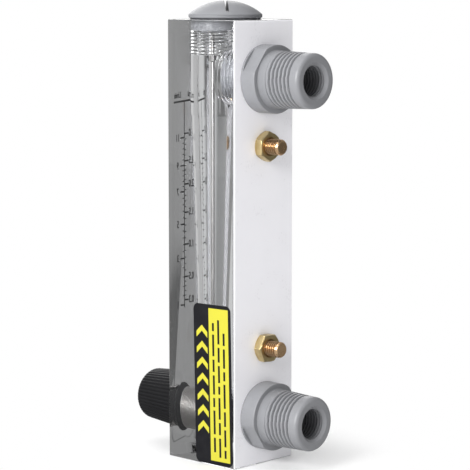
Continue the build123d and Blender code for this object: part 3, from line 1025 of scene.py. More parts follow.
@dataclass
class PipeFitting:
    """Moulded pipe fitting: spigot, flange with two wrench flats, taper thread outside, thread inside."""

    node: str
    seal: str
    flat_angle: float
    thread_turn: float = 0.0
    spigot_gap: float = 0.06
    flange: float = 25.14
    flange_thickness: float = 6.7
    flange_rounding: float = 0.35
    rim: float = 0.9
    across_flats: float = 23.0
    neck: float = 20.9
    neck_end: float = 10.5
    thread_end: float = 21.5
    taper: float = 1 / 16
    pitch: float = 1.814
    cut: float = 1.45
    lead_end: float = 23.0
    nose_rounding: float = 1.5
    tip_face: float = 16.8
    mouth: float = 13.64
    mouth_chamfer: float = 1.1
    through: float = 9.2
    inner_minor: float = 11.44
    inner_length: float = 12.0
    inner_pitch: float = 1.411
    inner_cut: float = 1.0
    angular_steps: int = 120
    # Share of the thread's depth below which the roots are given painted shade.
    groove_share: float = 0.55

    def threads(self, length: float) -> tuple[Thread, Thread]:
        """The taper thread outside and the thread in the mouth, for a fitting of some length."""
        front = length - self.mouth_chamfer
        outer = Thread(self.neck_end - 0.5, self.thread_end, self.pitch, self.cut, 0.4, 0.02, 0.6)
        inner = Thread(front - self.inner_length, front, self.inner_pitch, self.inner_cut, 0.36, 0.02, 0.4)
        return outer, inner

    def outline(self, length: float, spigot: float) -> list[tuple[float, float]]:
        """Outline from inside the mouth round to the far end of the through way.

        Args:
            length: How far the fitting stands out.
            spigot: How far it goes into the block.

        Returns:
            The points as (radius, distance from the back face).
        """
        outer, inner = self.threads(length)
        wall = [(r - self.spigot_gap, -depth) for r, depth in PORT_WALL if depth < spigot - 0.2]
        neck = self.neck / 2
        flange = self.flange / 2
        corner = self.flange_rounding
        lead = neck - self.taper / 2 * (self.lead_end - self.neck_end)
        nose = arc((lead - self.nose_rounding, length - self.nose_rounding), self.nose_rounding, 0, 90, 8)
        flank = [0.05, 0.6, self.rim - 0.03, self.rim + 0.03, 1.8, 3.6, 5.4]
        return [
            (self.through / 2, -spigot),
            (wall[-1][0], -spigot),
            *reversed(wall),
            (wall[0][0], 0.02),
            (flange - 0.05, 0.02),
            *[(flange, height) for height in flank],
            *arc((flange - corner, self.flange_thickness - corner), corner, 0, 90, 4),
            (neck + 0.35, self.flange_thickness),
            (neck, self.flange_thickness + 0.35),
            (neck, self.neck_end - 1.2),
            *[(neck - self.taper / 2 * (height - self.neck_end), height) for height in outer.rings(16)],
            (lead, self.lead_end),
            *nose,
            (self.tip_face / 2, length),
            (self.mouth / 2, length),
            *[(self.inner_minor / 2, height) for height in reversed(inner.rings(14))],
            (self.through / 2, inner.start),
        ]

    def fitting(self) -> bpy.types.Object:
        """The fitting itself."""
        back = corners("white_backing")[1].y
        low, high = corners(self.node)
        length, spigot = high.y - back, back - low.y
        shape = Shape().turn(self.outline(length, spigot), self.angular_steps, True, self.flat_angle)
        for angle in (self.flat_angle, self.flat_angle + 180.0):
            shape.flat(self.across_flats / 2, angle, self.rim, self.flange_thickness + 0.01)
        outer, inner = self.threads(length)
        shape.screw(outer, True, (self.neck / 2 - 1.0, self.neck / 2 + 0.1))
        shape.screw(inner, False, (self.inner_minor / 2 - 0.1, self.inner_minor / 2 + 0.1))
        return shape.place(Facing.BACK.placed(0, back, middle(self.node).z)).piece(f"{self.node}_moulding", 38.0)

    def groove_bands(self) -> list[tuple[float, float, float]]:
        """Start, end and the radius below which shade is painted in the root, for each pitch of the outer thread,
        which is on a cone.
        """
        bands = []
        for index in range(math.ceil((self.thread_end - self.neck_end) / self.pitch)):
            start = self.neck_end + index * self.pitch
            crest = self.neck / 2 - self.taper / 2 * (index + 0.5) * self.pitch
            root = crest - self.groove_share * self.cut
            bands.append((start, min(start + self.pitch, self.thread_end), root))
        return bands

    def ring(self) -> bpy.types.Object:
        """The seal ring in its pocket."""
        low, high = corners(self.seal)
        thickness = high.y - low.y
        outer = (high.x - low.x) / 2
        section = outer - self.neck / 2
        centre = outer - section / 2
        outline = [
            (centre + section / 2 * math.cos(a), thickness / 2 * (1 + math.sin(a)))
            for a in [math.tau * i / 16 for i in range(16)]
        ]
        shape = Shape().turn(outline, 96, closed=True)
        return shape.place(Facing.BACK.placed(0, low.y, middle(self.seal).z)).piece(f"{self.seal}_ring")

    def build(self) -> None:
        """Makes and dresses both."""
        fitting = dress(self.fitting(), Body.METER, Slot.GREY, (GREY_PLASTIC, GREY_PAINTED_SHADE), self.node)
        back = corners("white_backing")[1].y
        # The thread roots get the darker grey: painted shade in the grooves.
        for start, end, root in self.groove_bands():
            paint_groove_shade(fitting, middle(self.node).z, root, (back + start, back + end))
        dress(self.ring(), Body.METER, Slot.RUBBER, RUBBER, self.seal)


@dataclass
class PanelStud:
    """Brass stud with a screw thread, and the hexagon nut on it."""

    stud_node: str
    nut_node: str
    nut_turn: float
    socketed: float = 5.2
    major: float = 5.9
    pitch: float = 1.0
    cut: float = 0.7
    tip: float = 4.5
    tip_rounding: float = 0.35
    tip_chamfer: float = 0.75
    across_flats: float = 9.8
    thickness: float = 3.6
    corner_drop: float = 0.6
    bore: float = 5.95
    countersink: float = 0.55
    rings: int = 7
    # Share of the thread's depth below which the roots are given oxide and painted shade.
    groove_share: float = 0.4

    def stud(self) -> bpy.types.Object:
        """The stud itself."""
        back = corners("white_backing")[1].y
        low, high = corners(self.stud_node)
        out, sunk = high.y - back, back - low.y
        radius = self.major / 2
        shoulder = out - self.tip_chamfer
        thread = Thread(0.1, shoulder - 0.1, self.pitch, self.cut, 0.12, 0.04, 0.3)
        tip = self.tip / 2
        corner = self.tip_rounding
        outline = [
            (0, -sunk),
            (self.socketed / 2, -sunk),
            (self.socketed / 2, 0.1),
            *[(radius, height) for height in thread.rings(16)],
            (radius, shoulder),
            *arc((tip, out - corner), corner, 40, 90, 4),
            (tip - 0.6, out),
            (0, out),
        ]
        shape = Shape().turn(outline, 72).screw(thread, True, (radius - 0.1, radius + 0.1))
        shape.place(Facing.BACK.placed(0, back, middle(self.stud_node).z))
        return shape.piece(f"{self.stud_node}_rod", 75.0)

    def nut(self) -> bpy.types.Object:
        """The nut: a hexagon with both ends turned to a cone."""
        back = corners("white_backing")[1].y
        flat = self.across_flats / 2
        corner = flat / math.cos(math.pi / 6)
        drop = [self.corner_drop * i / self.rings for i in range(self.rings + 1)]
        slope = [(flat + (corner - flat) * i / self.rings) for i in range(self.rings + 1)]
        lower = list(zip(slope, drop))
        upper = [(r, self.thickness - h) for r, h in reversed(lower)]
        bore = self.bore / 2
        outline = [
            (bore, 0.0),
            *lower,
            *upper,
            (bore + self.countersink, self.thickness),
            (bore, self.thickness - self.countersink),
        ]
        shape = Shape().turn(outline, 96, closed=True, first=self.nut_turn)
        shape.hexagon(self.across_flats, self.nut_turn + 30.0, -0.1, self.thickness + 0.1)
        shape.soften(0.12, 2, 35.0)
        return shape.place(Facing.BACK.placed(0, back, middle(self.nut_node).z)).piece(f"{self.nut_node}_hex")

    def build(self) -> None:
        """Makes and dresses both."""
        stud = dress(self.stud(), Body.METER, Slot.STUD, (STUD_BRASS, BRASS_OXIDE_AND_SHADE), self.stud_node)
        end = corners(self.stud_node)[1].y - self.tip_chamfer - 0.1
        # Faces below this radius in the thread get the darker brass: oxide and painted shade in the roots.
        root = self.major / 2 - self.groove_share * self.cut
        paint_groove_shade(stud, middle(self.stud_node).z, root, (corners("white_backing")[1].y, end))
        dress(self.nut(), Body.METER, Slot.NUT, NUT_BRASS, self.nut_node)


@dataclass
class GuideSet:
    """What stands in the bore: the guide rod, its stop and holder, and the float."""

    float_hole: float = 2.66
    nose: float = 5.2
    waist: float = 7.2
    edge: float = 10.4
    crown: float = 8.6
    nose_length: float = 2.0
    waist_length: float = 7.0
    cone_length: float = 4.0
    edge_length: float = 1.6

    def rod(self) -> bpy.types.Object:
        """Straight rod with rounded ends."""
        low, high = corners("guide_rod")
        radius = (high.x - low.x) / 2
        outline = [
            (0, low.z),
            *arc((radius - 0.3, low.z + 0.3), 0.3, -90, 0, 3),
            *arc((radius - 0.3, high.z - 0.3), 0.3, 0, 90, 3),
            (0, high.z),
        ]
        centre = middle("guide_rod")
        return Shape().turn(outline, 48).place(Facing.UP.placed(centre.x, centre.y, 0)).piece("guide_rod_steel")

    def stop(self) -> bpy.types.Object:
        """Collar near the rod's top."""
        low, high = corners("rod_stop")
        outer = (high.x - low.x) / 2
        inner = (corners("guide_rod")[1].x - corners("guide_rod")[0].x) / 2 + 0.01
        outline = [
            (inner, low.z),
            (outer - 0.3, low.z),
            (outer, low.z + 0.3),
            (outer, high.z - 0.3),
            (outer - 0.3, high.z),
            (inner, high.z),
        ]
        centre = middle("rod_stop")
        shape = Shape().turn(outline, 64, closed=True)
        return shape.place(Facing.UP.placed(centre.x, centre.y, 0)).piece("rod_stop_collar")

    def bob(self) -> bpy.types.Object:
        """Plumb-bob float with a reading edge and a turned groove under it."""
        low, high = corners("float")
        hole = self.float_hole / 2
        waist_z = low.z + self.nose_length
        cone_z = waist_z + self.waist_length
        edge_z = cone_z + self.cone_length
        crown_z = edge_z + self.edge_length
        outline = [
            (hole, low.z),
            (self.nose / 2 - 0.2, low.z),
            (self.nose / 2, low.z + 0.2),
            (self.waist / 2, waist_z),
            (self.waist / 2, cone_z - 1.4),
            (self.waist / 2 - 0.3, cone_z - 1.1),
            (self.waist / 2 - 0.3, cone_z - 0.5),
            (self.waist / 2, cone_z - 0.2),
            (self.waist / 2, cone_z),
            (self.edge / 2 - 0.1, edge_z - 0.1),
            (self.edge / 2, edge_z),
            (self.edge / 2, crown_z),
            (self.edge / 2 - 0.1, crown_z + 0.15),
            (self.crown / 2, high.z - 0.1),
            (self.crown / 2 - 0.2, high.z),
            (hole, high.z),
        ]
        centre = middle("float")
        shape = Shape().turn(outline, 96, closed=True)
        return shape.place(Facing.UP.placed(centre.x, centre.y, 0)).piece("float_bob")

    def build(self, frame: dict[str, object]) -> None:
        """Makes and dresses the turned pieces and repaints the holder.

        Args:
            frame: The loaded frame.
        """
        dress(self.rod(), Body.METER, Slot.STEEL, DULL_STEEL, "guide_rod")
        dress(self.stop(), Body.METER, Slot.STEEL, STAINLESS, "rod_stop")
        dress(self.bob(), Body.FLOAT, Slot.STEEL, STAINLESS, "float")
        repaint(frame, "rod_holder", WHITE_PLASTIC)


@dataclass
class NeedleValve:
    """Bonnet, stem, seals and fluted knob of the valve, measured from the block's front face."""

    thread_gap: float = -0.03
    bonnet_neck: float = 13.2
    pocket_depth: float = 2.2
    head_gap: float = 0.02
    head_across_flats: float = 20.2
    head_thickness: float = 1.8
    head_drop: float = 0.5
    bonnet_bore: float = 8.0
    web: float = 1.2
    shaft: float = 5.0
    running_gap: float = 0.05
    stem_head: float = 7.9
    stem_head_front: float = 5.2
    stem_head_back: float = 15.0
    groove: float = 5.4
    groove_from_front: float = 0.9
    groove_length: float = 1.7
    stem_neck: float = 5.9
    cavity_depth: float = 17.7
    needle_tip: float = 1.6
    squeeze: float = 0.03
    knob_back: float = 23.0
    knob_front: float = 19.7
    knob_corner: float = 2.2
    knob_collar: float = 2.9
    knob_crown: float = 0.9
    skirt: float = 19.0
    skirt_depth: float = 3.0
    hub: float = 11.0
    flutes: int = 48
    flute_depth: float = 0.27
    flute_steps: int = 8
    flute_share: float = 0.62
    socket_wall: float = 3.4

    def at_front(self, facing: Facing = Facing.FRONT) -> Matrix:
        """Place of the valve's axis on the front face."""
        return facing.placed(0, corners("acrylic_body")[0].y, middle("knob").z)

    def bonnet(self) -> bpy.types.Object:
        """Threaded sleeve with a hexagon head, distances out of the front face."""
        wall = [(r - self.thread_gap, -d) for r, d in BONNET_WALL if d > self.pocket_depth]
        way = self.bonnet_bore / 2
        shaft_way = self.shaft / 2 + self.running_gap
        flat = self.head_across_flats / 2
        corner = flat / math.cos(math.pi / 6)
        steps = 5
        slope = [
            (flat + (corner - flat) * i / steps, self.head_drop * i / steps) for i in range(steps + 1)
        ]
        outline = [
            (way, wall[-1][1]),
            *reversed(wall),
            (wall[0][0], -self.pocket_depth),
            (self.bonnet_neck / 2, -self.pocket_depth),
            (self.bonnet_neck / 2, self.head_gap),
            *[(r, h + self.head_gap) for r, h in slope],
            *[(r, self.head_thickness - h) for r, h in reversed(slope)],
            (shaft_way, self.head_thickness),
            (shaft_way, -self.web),
            (way, -self.web),
        ]
        shape = Shape().turn(outline, 96, closed=True)
        shape.hexagon(self.head_across_flats, 30.0, 0.0, self.head_thickness + 0.01)
        return shape.place(self.at_front()).piece("valve_bonnet_sleeve", 38.0)

    def stem(self) -> bpy.types.Object:
        """Stem from the needle's tip to the end in the knob."""
        front = -self.stem_head_front
        groove_front = front - self.groove_from_front
        groove_back = groove_front - self.groove_length
        low, high = corners("valve_stem")
        face = corners("acrylic_body")[0].y
        tip, end = face - high.y, face - low.y
        screw = Thread(-self.stem_head_back, groove_back - 0.3, 1.0, 0.35)
        outline = [
            (0, tip),
            (self.needle_tip / 2, tip),
            (self.stem_neck / 2, -self.cavity_depth),
            (self.stem_neck / 2, -self.stem_head_back),
            *[(self.stem_head / 2, height) for height in screw.rings()],
            (self.stem_head / 2, groove_back),
            (self.groove / 2, groove_back),
            (self.groove / 2, groove_front),
            (self.stem_head / 2, groove_front),
            (self.stem_head / 2, front),
            (self.shaft / 2, front),
            (self.shaft / 2, end - 0.4),
            (self.shaft / 2 - 0.4, end),
            (0, end),
        ]
        shape = Shape().turn(outline, 64)
        shape.screw(screw, True, (self.stem_head / 2 - 0.1, self.stem_head / 2 + 0.1))
        return shape.place(self.at_front()).piece("valve_stem_steel", 38.0)

    def gland_ring(self) -> bpy.types.Object:
        """Seal squeezed into the sloping pocket round the bonnet's neck, wet against the acrylic."""
        neck = self.bonnet_neck / 2
        slope_end, depth = BONNET_WALL[0]
        front = corners("bonnet_o_ring")[1].x
        outline = [
            (neck, 0.0),
            (front - 0.2, 0.0),
            (front + self.squeeze, 0.1),
            (slope_end + self.squeeze, depth + self.squeeze),
            (slope_end - 0.25, depth + 0.12),
            (neck, self.pocket_depth),
        ]
        shape = Shape().turn(outline, 128, closed=True)
        return shape.place(self.at_front(Facing.BACK)).piece("bonnet_seal_ring")

    def ring(self, name: str, node: str, inner: float) -> bpy.types.Object:
        """Seal ring that fills the box of its node.

        Args:
            name: Name of the piece.
            node: Node of the frame that it stands for.
            inner: Inner radius.

        Returns:
            The ring.
        """
        low, high = corners(node)
        outer, depth = (high.x - low.x) / 2, high.y - low.y
        section = (outer - inner) / 2
        outline = [
            (inner + section * (1 + math.cos(a)), depth / 2 * (1 + math.sin(a)))
            for a in [math.tau * i / 20 for i in range(20)]
        ]
        shape = Shape().turn(outline, 96, closed=True)
        return shape.place(Facing.BACK.placed(0, low.y, middle(node).z)).piece(name)

    def knob(self) -> bpy.types.Object:
        """Tapered knob with a fluted side, a crowned face and a hollow skirt."""
        low, high = corners("knob")
        face = corners("acrylic_body")[0].y
        end, start = face - low.y, face - high.y
        back, front = self.knob_back / 2, self.knob_front / 2
        edge = end - self.knob_crown
        corner = edge - self.knob_corner
        rim = front - self.knob_corner
        sphere = (rim**2 + self.knob_crown**2) / (2 * self.knob_crown)
        lean = math.degrees(math.acos(rim / sphere))
        crown = arc((0.0, end - sphere), sphere, lean, 90.0, 12)
        collar = start + self.knob_collar
        heights = [start + 0.3, collar - 0.02, collar + 0.15]
        heights += [collar + 0.4 + (corner - collar - 0.4) * i / 12 for i in range(13)]
        side = [(back + (front - back) * (h - start) / (corner - start), h) for h in heights]
        outline = [
            (0, end - self.socket_wall),
            (self.shaft / 2, end - self.socket_wall),
            (self.shaft / 2, start),
            (self.hub / 2, start),
            (self.hub / 2, start + self.skirt_depth),
            (self.skirt / 2, start + self.skirt_depth),
            (self.skirt / 2, start),
            (back - 0.35, start),
            *side,
            *arc((rim, corner), self.knob_corner, 0, 90, 8)[1:],
            *crown[1:-1],
            (0, end),
        ]
        shape = Shape().turn(outline, self.flutes * self.flute_steps)
        self.flute(shape, collar, corner + self.knob_corner * 0.9, rim)
        return shape.place(self.at_front()).piece("valve_knob", 40.0)

    def flute(self, shape: Shape, start: float, end: float, inside: float) -> None:
        """Presses the flutes into the knob's side.

        Args:
            shape: The knob, its axis along Z.
            start: Height at which the flutes start.
            end: Height at which they have faded away.
            inside: Radius below which nothing is pressed in.
        """
        for point in shape.mesh.verts:
            x, y, height = point.co
            radius = math.hypot(x, y)
            if radius < inside + 0.3 or not start < height < end:
                continue
            phase = (math.atan2(y, x) / math.tau * self.flutes) % 1.0
            across = min(1.0, abs(2.0 * phase - 1.0) / self.flute_share)
            fade = min(1.0, (end - height) / self.knob_corner)
            cut = self.flute_depth * (1.0 - across**2) * fade
            share = (radius - cut) / radius
            point.co.x = x * share
            point.co.y = y * share

    def build(self, frame: dict[str, object]) -> None:
        """Makes and dresses the valve.

        Args:
            frame: The loaded frame.
        """
        dress(self.bonnet(), Body.METER, Slot.STEEL, DULL_STEEL, "valve_bonnet")
        dress(self.gland_ring(), Body.METER, Slot.RUBBER, RUBBER, "bonnet_o_ring")
        inner = self.groove / 2 + self.running_gap
        dress(
            self.ring("stem_seal_ring", "stem_o_ring", inner), Body.SEAL, Slot.RUBBER, RUBBER, "stem_o_ring"
        )
        dress(self.stem(), Body.KNOB, Slot.STEEL, STAINLESS, "valve_stem")
        dress(self.knob(), Body.KNOB, Slot.BLACK, BLACK_PLASTIC, "knob")
        repaint(frame, "knob_set_screw", STAINLESS)


@dataclass
class SideSticker:
    """Sticker stuck a little askew on the side: black film with a yellow field, bars and arrow heads.

    It is laid out round its centre, with Y across and Z up, and then turned and moved into place.
    """

    width: float = 19.0
    height: float = 60.1
    tilt: float = 1.3
    corner: float = 2.3
    sunk: float = 0.02
    ink: float = 0.012
    field_left: float = -1.7
    field_right: float = 8.2
    field_end: float = 1.4
    arrow_count: int = 7
    arrow_width: float = 5.6
    arrow_rise: float = 2.5
    arrow_thick: float = 2.2
    arrow_pitch: float = 6.0
    arrow_bottom: float = -18.6
    arrow_across: float = -5.3
    bar_rows: tuple[float, ...] = (2.2, 4.9, 7.6)
    bar_width: float = 1.0
    bar_lengths: tuple[float, ...] = (5.5, 9.0, 3.4, 7.2, 4.6, 8.1, 3.0, 6.4)
    bar_gap: float = 1.3
    bar_margin: float = 3.0

    def plate(self, shape: Shape, y: tuple[float, float], z: tuple[float, float], x: tuple[float, float]) -> None:
        """Adds one flat plate.

        Args:
            shape: Shape that takes it.
            y: Its two sides.
            z: Its bottom and top.
            x: Its depth and height, from the film's outer face.
        """
        shape.block(Vector((x[0], y[0], z[0])), Vector((x[1], y[1], z[1])))

    def stuck(self, shape: Shape, name: str) -> bpy.types.Object:
        """Turns a shape askew, moves it to the sticker's place and hands it over.

        Args:
            shape: The shape, laid out round the sticker's centre.
            name: Name of the piece.

        Returns:
            The piece.
        """
        centre = middle("side_label")
        centre.x = corners("side_label")[1].x
        turn = Matrix.Rotation(math.radians(self.tilt), 4, "X")
        return shape.place(Matrix.Translation(centre) @ turn).piece(name)

    def film(self) -> bpy.types.Object:
        """Black film with round corners."""
        low, high = corners("side_label")
        shape = Shape()
        half = (self.width / 2, self.height / 2)
        self.plate(shape, (-half[0], half[0]), (-half[1], half[1]), (low.x - self.sunk - high.x, 0.0))
        upright = [e for e in shape.mesh.edges if abs(e.verts[0].co.x - e.verts[1].co.x) > 0.01]
        bmesh.ops.bevel(
            shape.mesh,
            geom=upright,
            offset=self.corner,
            segments=8,
            affect="EDGES",
            profile=0.5,
            material=-1,
        )
        return self.stuck(shape, "side_sticker_film")

    def yellow(self) -> bpy.types.Object:
        """Yellow field, with the arrow heads beside it."""
        shape = Shape()
        end = self.height / 2 - self.field_end
        self.plate(shape, (self.field_left, self.field_right), (-end, end), (-0.03, self.ink))
        for index in range(self.arrow_count):
            self.arrow_head(shape, self.arrow_bottom + index * self.arrow_pitch)
        return self.stuck(shape, "side_sticker_yellow")

    def arrow_head(self, shape: Shape, bottom: float) -> None:
        """Adds an arrow head that points up, the way of the flow.

        Args:
            shape: Shape that takes it.
            bottom: Height of its lower corners.
        """
        half = self.arrow_width / 2
        for side in (-1, 1):
            arm = Shape()
            self.plate(arm, (0.0, half), (0.0, self.arrow_thick), (-0.03, self.ink))
            lean = self.arrow_rise / half
            for point in arm.mesh.verts:
                point.co.z += bottom + self.arrow_rise - lean * point.co.y
                point.co.y = self.arrow_across + side * point.co.y
            if side < 0:
                bmesh.ops.reverse_faces(arm.mesh, faces=arm.mesh.faces)
            shape.add(arm)

    def bars(self) -> bpy.types.Object:
        """Rows of plain bars on the yellow field."""
        shape = Shape()
        end = self.height / 2 - self.bar_margin
        for row, offset in enumerate(self.bar_rows):
            z = -end + (1.7 if row == 0 else 0.0)
            index = row * 3
            while z + self.bar_lengths[index % len(self.bar_lengths)] < end:
                length = self.bar_lengths[index % len(self.bar_lengths)]
                near = self.field_left + offset - self.bar_width / 2
                self.plate(shape, (near, near + self.bar_width), (z, z + length), (-0.03, 2 * self.ink))
                z += length + self.bar_gap
                index += 1
        return self.stuck(shape, "side_sticker_bars")

    def build(self) -> None:
        """Makes and dresses the film and its print."""
        dress(self.film(), Body.METER, Slot.STICKER, BLACK_FILM, "side_label")
        dress(self.yellow(), Body.METER, Slot.STICKER, YELLOW_FILM)
        dress(self.bars(), Body.METER, Slot.STICKER, BLACK_FILM)


@dataclass
class FrontScale:
    """Plain scale printed on the front face, with numbers for two units."""

    sunk: float = 0.05
    proud: float = 0.012
    middle_x: float = -1.3
    line: float = 0.5
    bar: float = 0.7
    bar_z: float = 133.6
    bar_ends: tuple[float, float] = (-6.2, 10.4)
    bottom_z: float = 56.1
    tick: float = 3.8
    tick_line: float = 0.55
    short_tick: float = 1.7
    short_line: float = 0.3
    between: int = 4
    number_height: float = 2.7
    boldness: float = 0.05
    litre_x: float = 6.6
    gallon_x: float = -6.5
    litres: tuple[tuple[str, float], ...] = (
        ("1", 57.1),
        ("3", 74.7),
        ("5", 87.6),
        ("7", 99.8),
        ("9", 109.6),
        ("11", 120.0),
    )
    gallons: tuple[tuple[str, float], ...] = (
        ("0.3", 59.0),
        ("0.5", 67.8),
        ("1.0", 80.0),
        ("1.5", 92.0),
        ("2.0", 102.6),
        ("2.5", 111.3),
        ("3.0", 121.5),
    )
    heading_z: float = 136.0

    def mark(self, shape: Shape, x: tuple[float, float], z: float, thick: float) -> None:
        """Adds a level line of ink that goes a little into the face.

        Args:
            shape: Shape that takes it.
            x: Its two ends, from the scale's middle line.
            z: Its middle height.
            thick: Its thickness.
        """
        face = corners("acrylic_body")[0].y
        low = Vector((self.middle_x + min(x), face - self.proud, z - thick / 2))
        shape.block(low, Vector((self.middle_x + max(x), face + self.sunk, z + thick / 2)))

    def lines(self) -> bpy.types.Object:
        """Middle line, heavy bar and ticks."""
        shape = Shape()
        half = self.line / 2
        length = self.bar_z - self.bottom_z
        self.mark(shape, (-half, half), self.bottom_z + length / 2, length)
        self.mark(shape, self.bar_ends, self.bar_z, self.bar)
        for side, marks in ((1, self.litres), (-1, self.gallons)):
            heights = [z for _, z in marks]
            for z in heights:
                self.mark(shape, (0.0, side * self.tick), z, self.tick_line)
            for lower, upper in zip(heights, heights[1:]):
                for index in range(1, self.between + 1):
                    z = lower + (upper - lower) * index / (self.between + 1)
                    self.mark(shape, (0.0, side * self.short_tick), z, self.short_line)
        return shape.piece("front_scale_lines")

    def text(self, words: str, x: float, z: float, height: float) -> Shape:
        """Flat letters that read from the front.

        Args:
            words: What to write.
            x: Middle of the words, from the scale's middle line.
            z: Middle height of the words.
            height: Height of a figure.

        Returns:
            The letters, in place.
        """
        curve = bpy.data.curves.new("figures", "FONT")
        curve.body = words
        curve.align_x = "CENTER"
        curve.align_y = "CENTER"
        curve.size = height / 0.7
        curve.offset = self.boldness
        curve.extrude = (self.sunk + self.proud) / 2
        curve.resolution_u = 3
        holder = bpy.data.objects.new("figures", curve)
        bpy.context.scene.collection.objects.link(holder)
        bpy.context.view_layer.update()
        data = bpy.data.meshes.new_from_object(holder.evaluated_get(bpy.context.evaluated_depsgraph_get()))
        letters = Shape()
        letters.mesh.from_mesh(data)
        bpy.data.objects.remove(holder)
        bpy.data.curves.remove(curve)
        bpy.data.meshes.remove(data)
        face = corners("acrylic_body")[0].y + (self.sunk - self.proud) / 2
        letters.place(Matrix.Translation((self.middle_x + x, face, z)) @ Matrix.Rotation(math.pi / 2, 4, "X"))
        return letters.clean()

    def figures(self) -> bpy.types.Object:
        """Numbers of both scales and the two unit marks."""
        shape = Shape()
        rows = [(words, self.litre_x, z, self.number_height) for words, z in self.litres]
        rows += [(words, self.gallon_x, z, self.number_height) for words, z in self.gallons]
        rows += [("L/min", self.litre_x, self.heading_z, self.number_height * 0.8)]
        rows += [("gal", self.gallon_x + 1.5, self.heading_z, self.number_height * 0.8)]
        for words, x, z, height in rows:
            shape.add(self.text(words, x, z, height))
        return shape.piece("front_scale_figures", 20.0)

    def build(self) -> None:
        """Makes and dresses the print."""
        dress(self.lines(), Body.METER, Slot.BLACK, SCALE_INK)
        dress(self.figures(), Body.METER, Slot.BLACK, SCALE_INK)


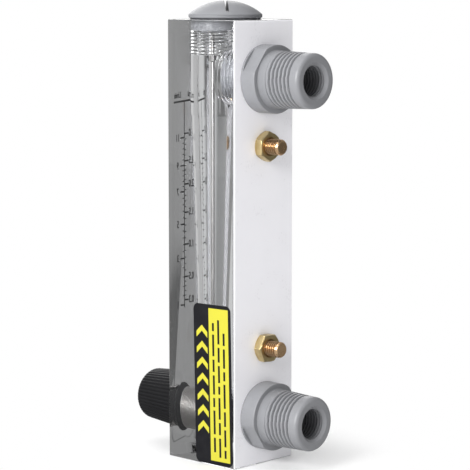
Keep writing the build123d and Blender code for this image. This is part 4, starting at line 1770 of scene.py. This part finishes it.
@dataclass
class Studio:
    """Pale floor, soft lamps and the camera at the photograph's place, in metres and degrees."""

    eye: tuple[float, float, float] = (0.5520, 0.5283, 0.1837)
    heading: tuple[float, float] = (-0.7239, -0.6898)
    look_down: float = 7.4
    lens: float = 157.37
    sensor: float = 36.0
    floor_radius: float = 3.0
    paper: float = 0.92
    soft_light: float = 0.5
    right: tuple[float, float, float] = (-0.690, 0.724, 0.0)
    room: float = 0.60
    panel: float = 0.72
    panel_through: float = 0.45
    panel_low: float = 0.36
    card: float = 0.25
    card_dark: float = 0.095
    # Floor glow under and round the block's foot, as glossy and transmission rays see it: painted shadow of the
    # block.
    under: float = 0.2

    def camera(self) -> None:
        """Camera of the photograph."""
        down = math.radians(self.look_down)
        look = Vector((*(c * math.cos(down) for c in self.heading), -math.sin(down)))
        data = bpy.data.cameras.new("photo_camera")
        data.lens = self.lens
        data.sensor_width = self.sensor
        data.clip_start = 0.01
        data.clip_end = 20.0
        holder = bpy.data.objects.new("photo_camera", data)
        holder.location = self.eye
        holder.rotation_mode = "QUATERNION"
        holder.rotation_quaternion = look.to_track_quat("-Z", "Y")
        bpy.context.scene.collection.objects.link(holder)
        bpy.context.scene.camera = holder

    def surroundings(self, graph: Graph, vector: Signal, card: object, panel: object) -> Signal:
        """What metal and glass show: a grey room with a panel on the camera's left and above.

        Args:
            graph: Graph that takes the nodes.
            vector: Direction in which the ray goes.
            card: Colour of the card on the camera's right.
            panel: Colour of the panel.

        Returns:
            The colour.
        """
        above = graph.toward(vector, (0.0, 0.0, 1.0)).ramp(0.35, 0.8)
        right = graph.toward(vector, self.right)
        bright = above.largest((right * -1.0).ramp(0.55, 0.8))
        colour = graph.mix(bright, (self.room,) * 3, panel)
        return graph.mix(right.ramp(0.1, 0.4), colour, card)

    def floor(self) -> None:
        """Pale floor that fades into the backdrop."""
        mesh = bmesh.new()
        bmesh.ops.create_circle(mesh, cap_ends=True, segments=96, radius=self.floor_radius)
        data = bpy.data.meshes.new("studio_floor")
        mesh.to_mesh(data)
        mesh.free()
        floor = bpy.data.objects.new("studio_floor", data)
        bpy.context.scene.collection.objects.link(floor)
        material = bpy.data.materials.new("studio_floor_pale")
        material.use_nodes = True
        graph = Graph(material.node_tree)
        paper = graph.principled(
            Base_Color=(self.paper,) * 3, Roughness=0.7, Specular_IOR_Level=0.1
        )
        place = graph.node("ShaderNodeTexCoord", output="Object")
        length = graph.node("ShaderNodeVectorMath", {"operation": "LENGTH"}, {0: place}, "Value")
        card = graph.mix(length.ramp(0.6, 0.74), (self.card,) * 3, (self.card_dark,) * 3)
        glossy = graph.node("ShaderNodeLightPath", output="Is Glossy Ray")
        through = graph.node("ShaderNodeLightPath", output="Is Transmission Ray")
        panel = graph.mix(through, (self.panel_low,) * 3, (self.panel_through,) * 3)
        around = self.surroundings(graph, place, card, panel)
        # Near the block, glass and metal see the darker under colour: painted shadow on the floor.
        glow = {"Color": graph.mix(length.ramp(0.02, 0.07), (self.under,) * 3, around), "Strength": 1.0}
        mirrored = graph.node("ShaderNodeEmission", {}, glow)
        white = graph.node("ShaderNodeEmission", {}, {"Color": (1.0, 1.0, 1.0, 1.0), "Strength": 1.0})
        camera = graph.node("ShaderNodeLightPath", output="Is Camera Ray")
        seen = graph.node("ShaderNodeMixShader", {}, {0: camera * length.ramp(0.02, 0.07), 1: paper, 2: white})
        graph.finish(graph.node("ShaderNodeMixShader", {}, {0: glossy.largest(through), 1: seen, 2: mirrored}))
        material.cycles.emission_sampling = "NONE"
        data.materials.append(material)

    def lamp(
        self, name: str, place: Sequence[float], size: float, power: float, colour: Colour = (1, 1, 1)
    ) -> None:
        """Adds a square soft lamp that faces the meter.

        Args:
            name: The lamp's name.
            place: Where it stands.
            size: Length of its side.
            power: Its power in watts.
            colour: Its colour.
        """
        data = bpy.data.lights.new(name, "AREA")
        data.shape = "SQUARE"
        data.size = size
        data.energy = power
        data.color = colour
        holder = bpy.data.objects.new(name, data)
        holder.location = place
        holder.rotation_mode = "QUATERNION"
        aim = Vector((0.0, 0.0, 0.085)) - Vector(place)
        holder.rotation_quaternion = aim.to_track_quat("-Z", "Y")
        bpy.context.scene.collection.objects.link(holder)

    def world(self) -> None:
        """White to the eye, a room to metal and glass, and soft light to everything else."""
        world = bpy.data.worlds.new("studio")
        world.use_nodes = True
        bpy.context.scene.world = world
        graph = Graph(world.node_tree)
        way = graph.node("ShaderNodeTexCoord", output="Generated")
        camera = graph.node("ShaderNodeLightPath", output="Is Camera Ray")
        glossy = graph.node("ShaderNodeLightPath", output="Is Glossy Ray")
        through = graph.node("ShaderNodeLightPath", output="Is Transmission Ray")
        panel = graph.mix(through, (self.panel,) * 3, (self.panel_through,) * 3)
        around = self.surroundings(graph, way, (self.card,) * 3, panel)
        colour = graph.mix(glossy.largest(through), (self.soft_light,) * 3, around)
        colour = graph.mix(camera, colour, (1.0, 1.0, 1.0))
        graph.finish(graph.node("ShaderNodeBackground", {}, {"Color": colour}), "ShaderNodeOutputWorld")
        world.cycles.sampling_method = "NONE"

    def build(self) -> None:
        """Sets the whole studio."""
        scene = bpy.context.scene
        scene.view_settings.view_transform = "Standard"
        self.world()
        self.floor()
        self.lamp("key_lamp", (0.97, 0.14, 0.5), 0.45, 14.0)
        self.lamp("top_lamp", (0.2, -0.1, 1.0), 0.7, 2.4)
        self.lamp("fill_lamp", (-0.6, -0.8, 0.5), 0.6, 2.5)
        self.camera()


def main() -> None:
    """Builds the meter's sub-assemblies in order, then the studio."""
    logging.basicConfig(level=logging.INFO, format="%(name)s: %(message)s")
    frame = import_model()
    AcrylicBlock().build()
    repaint(frame, "white_backing", WHITE_SHEET)
    TopPlug().build()
    PipeFitting("upper_fitting", "upper_fitting_o_ring", -37.6).build()
    PipeFitting("lower_fitting", "lower_fitting_o_ring", 34.0).build()
    PanelStud("upper_stud", "upper_nut", 31.0).build()
    PanelStud("lower_stud", "lower_nut", -2.0).build()
    GuideSet().build(frame)
    NeedleValve().build(frame)
    SideSticker().build()
    FrontScale().build()
    Studio().build()


if __name__ == "__main__":
    main()
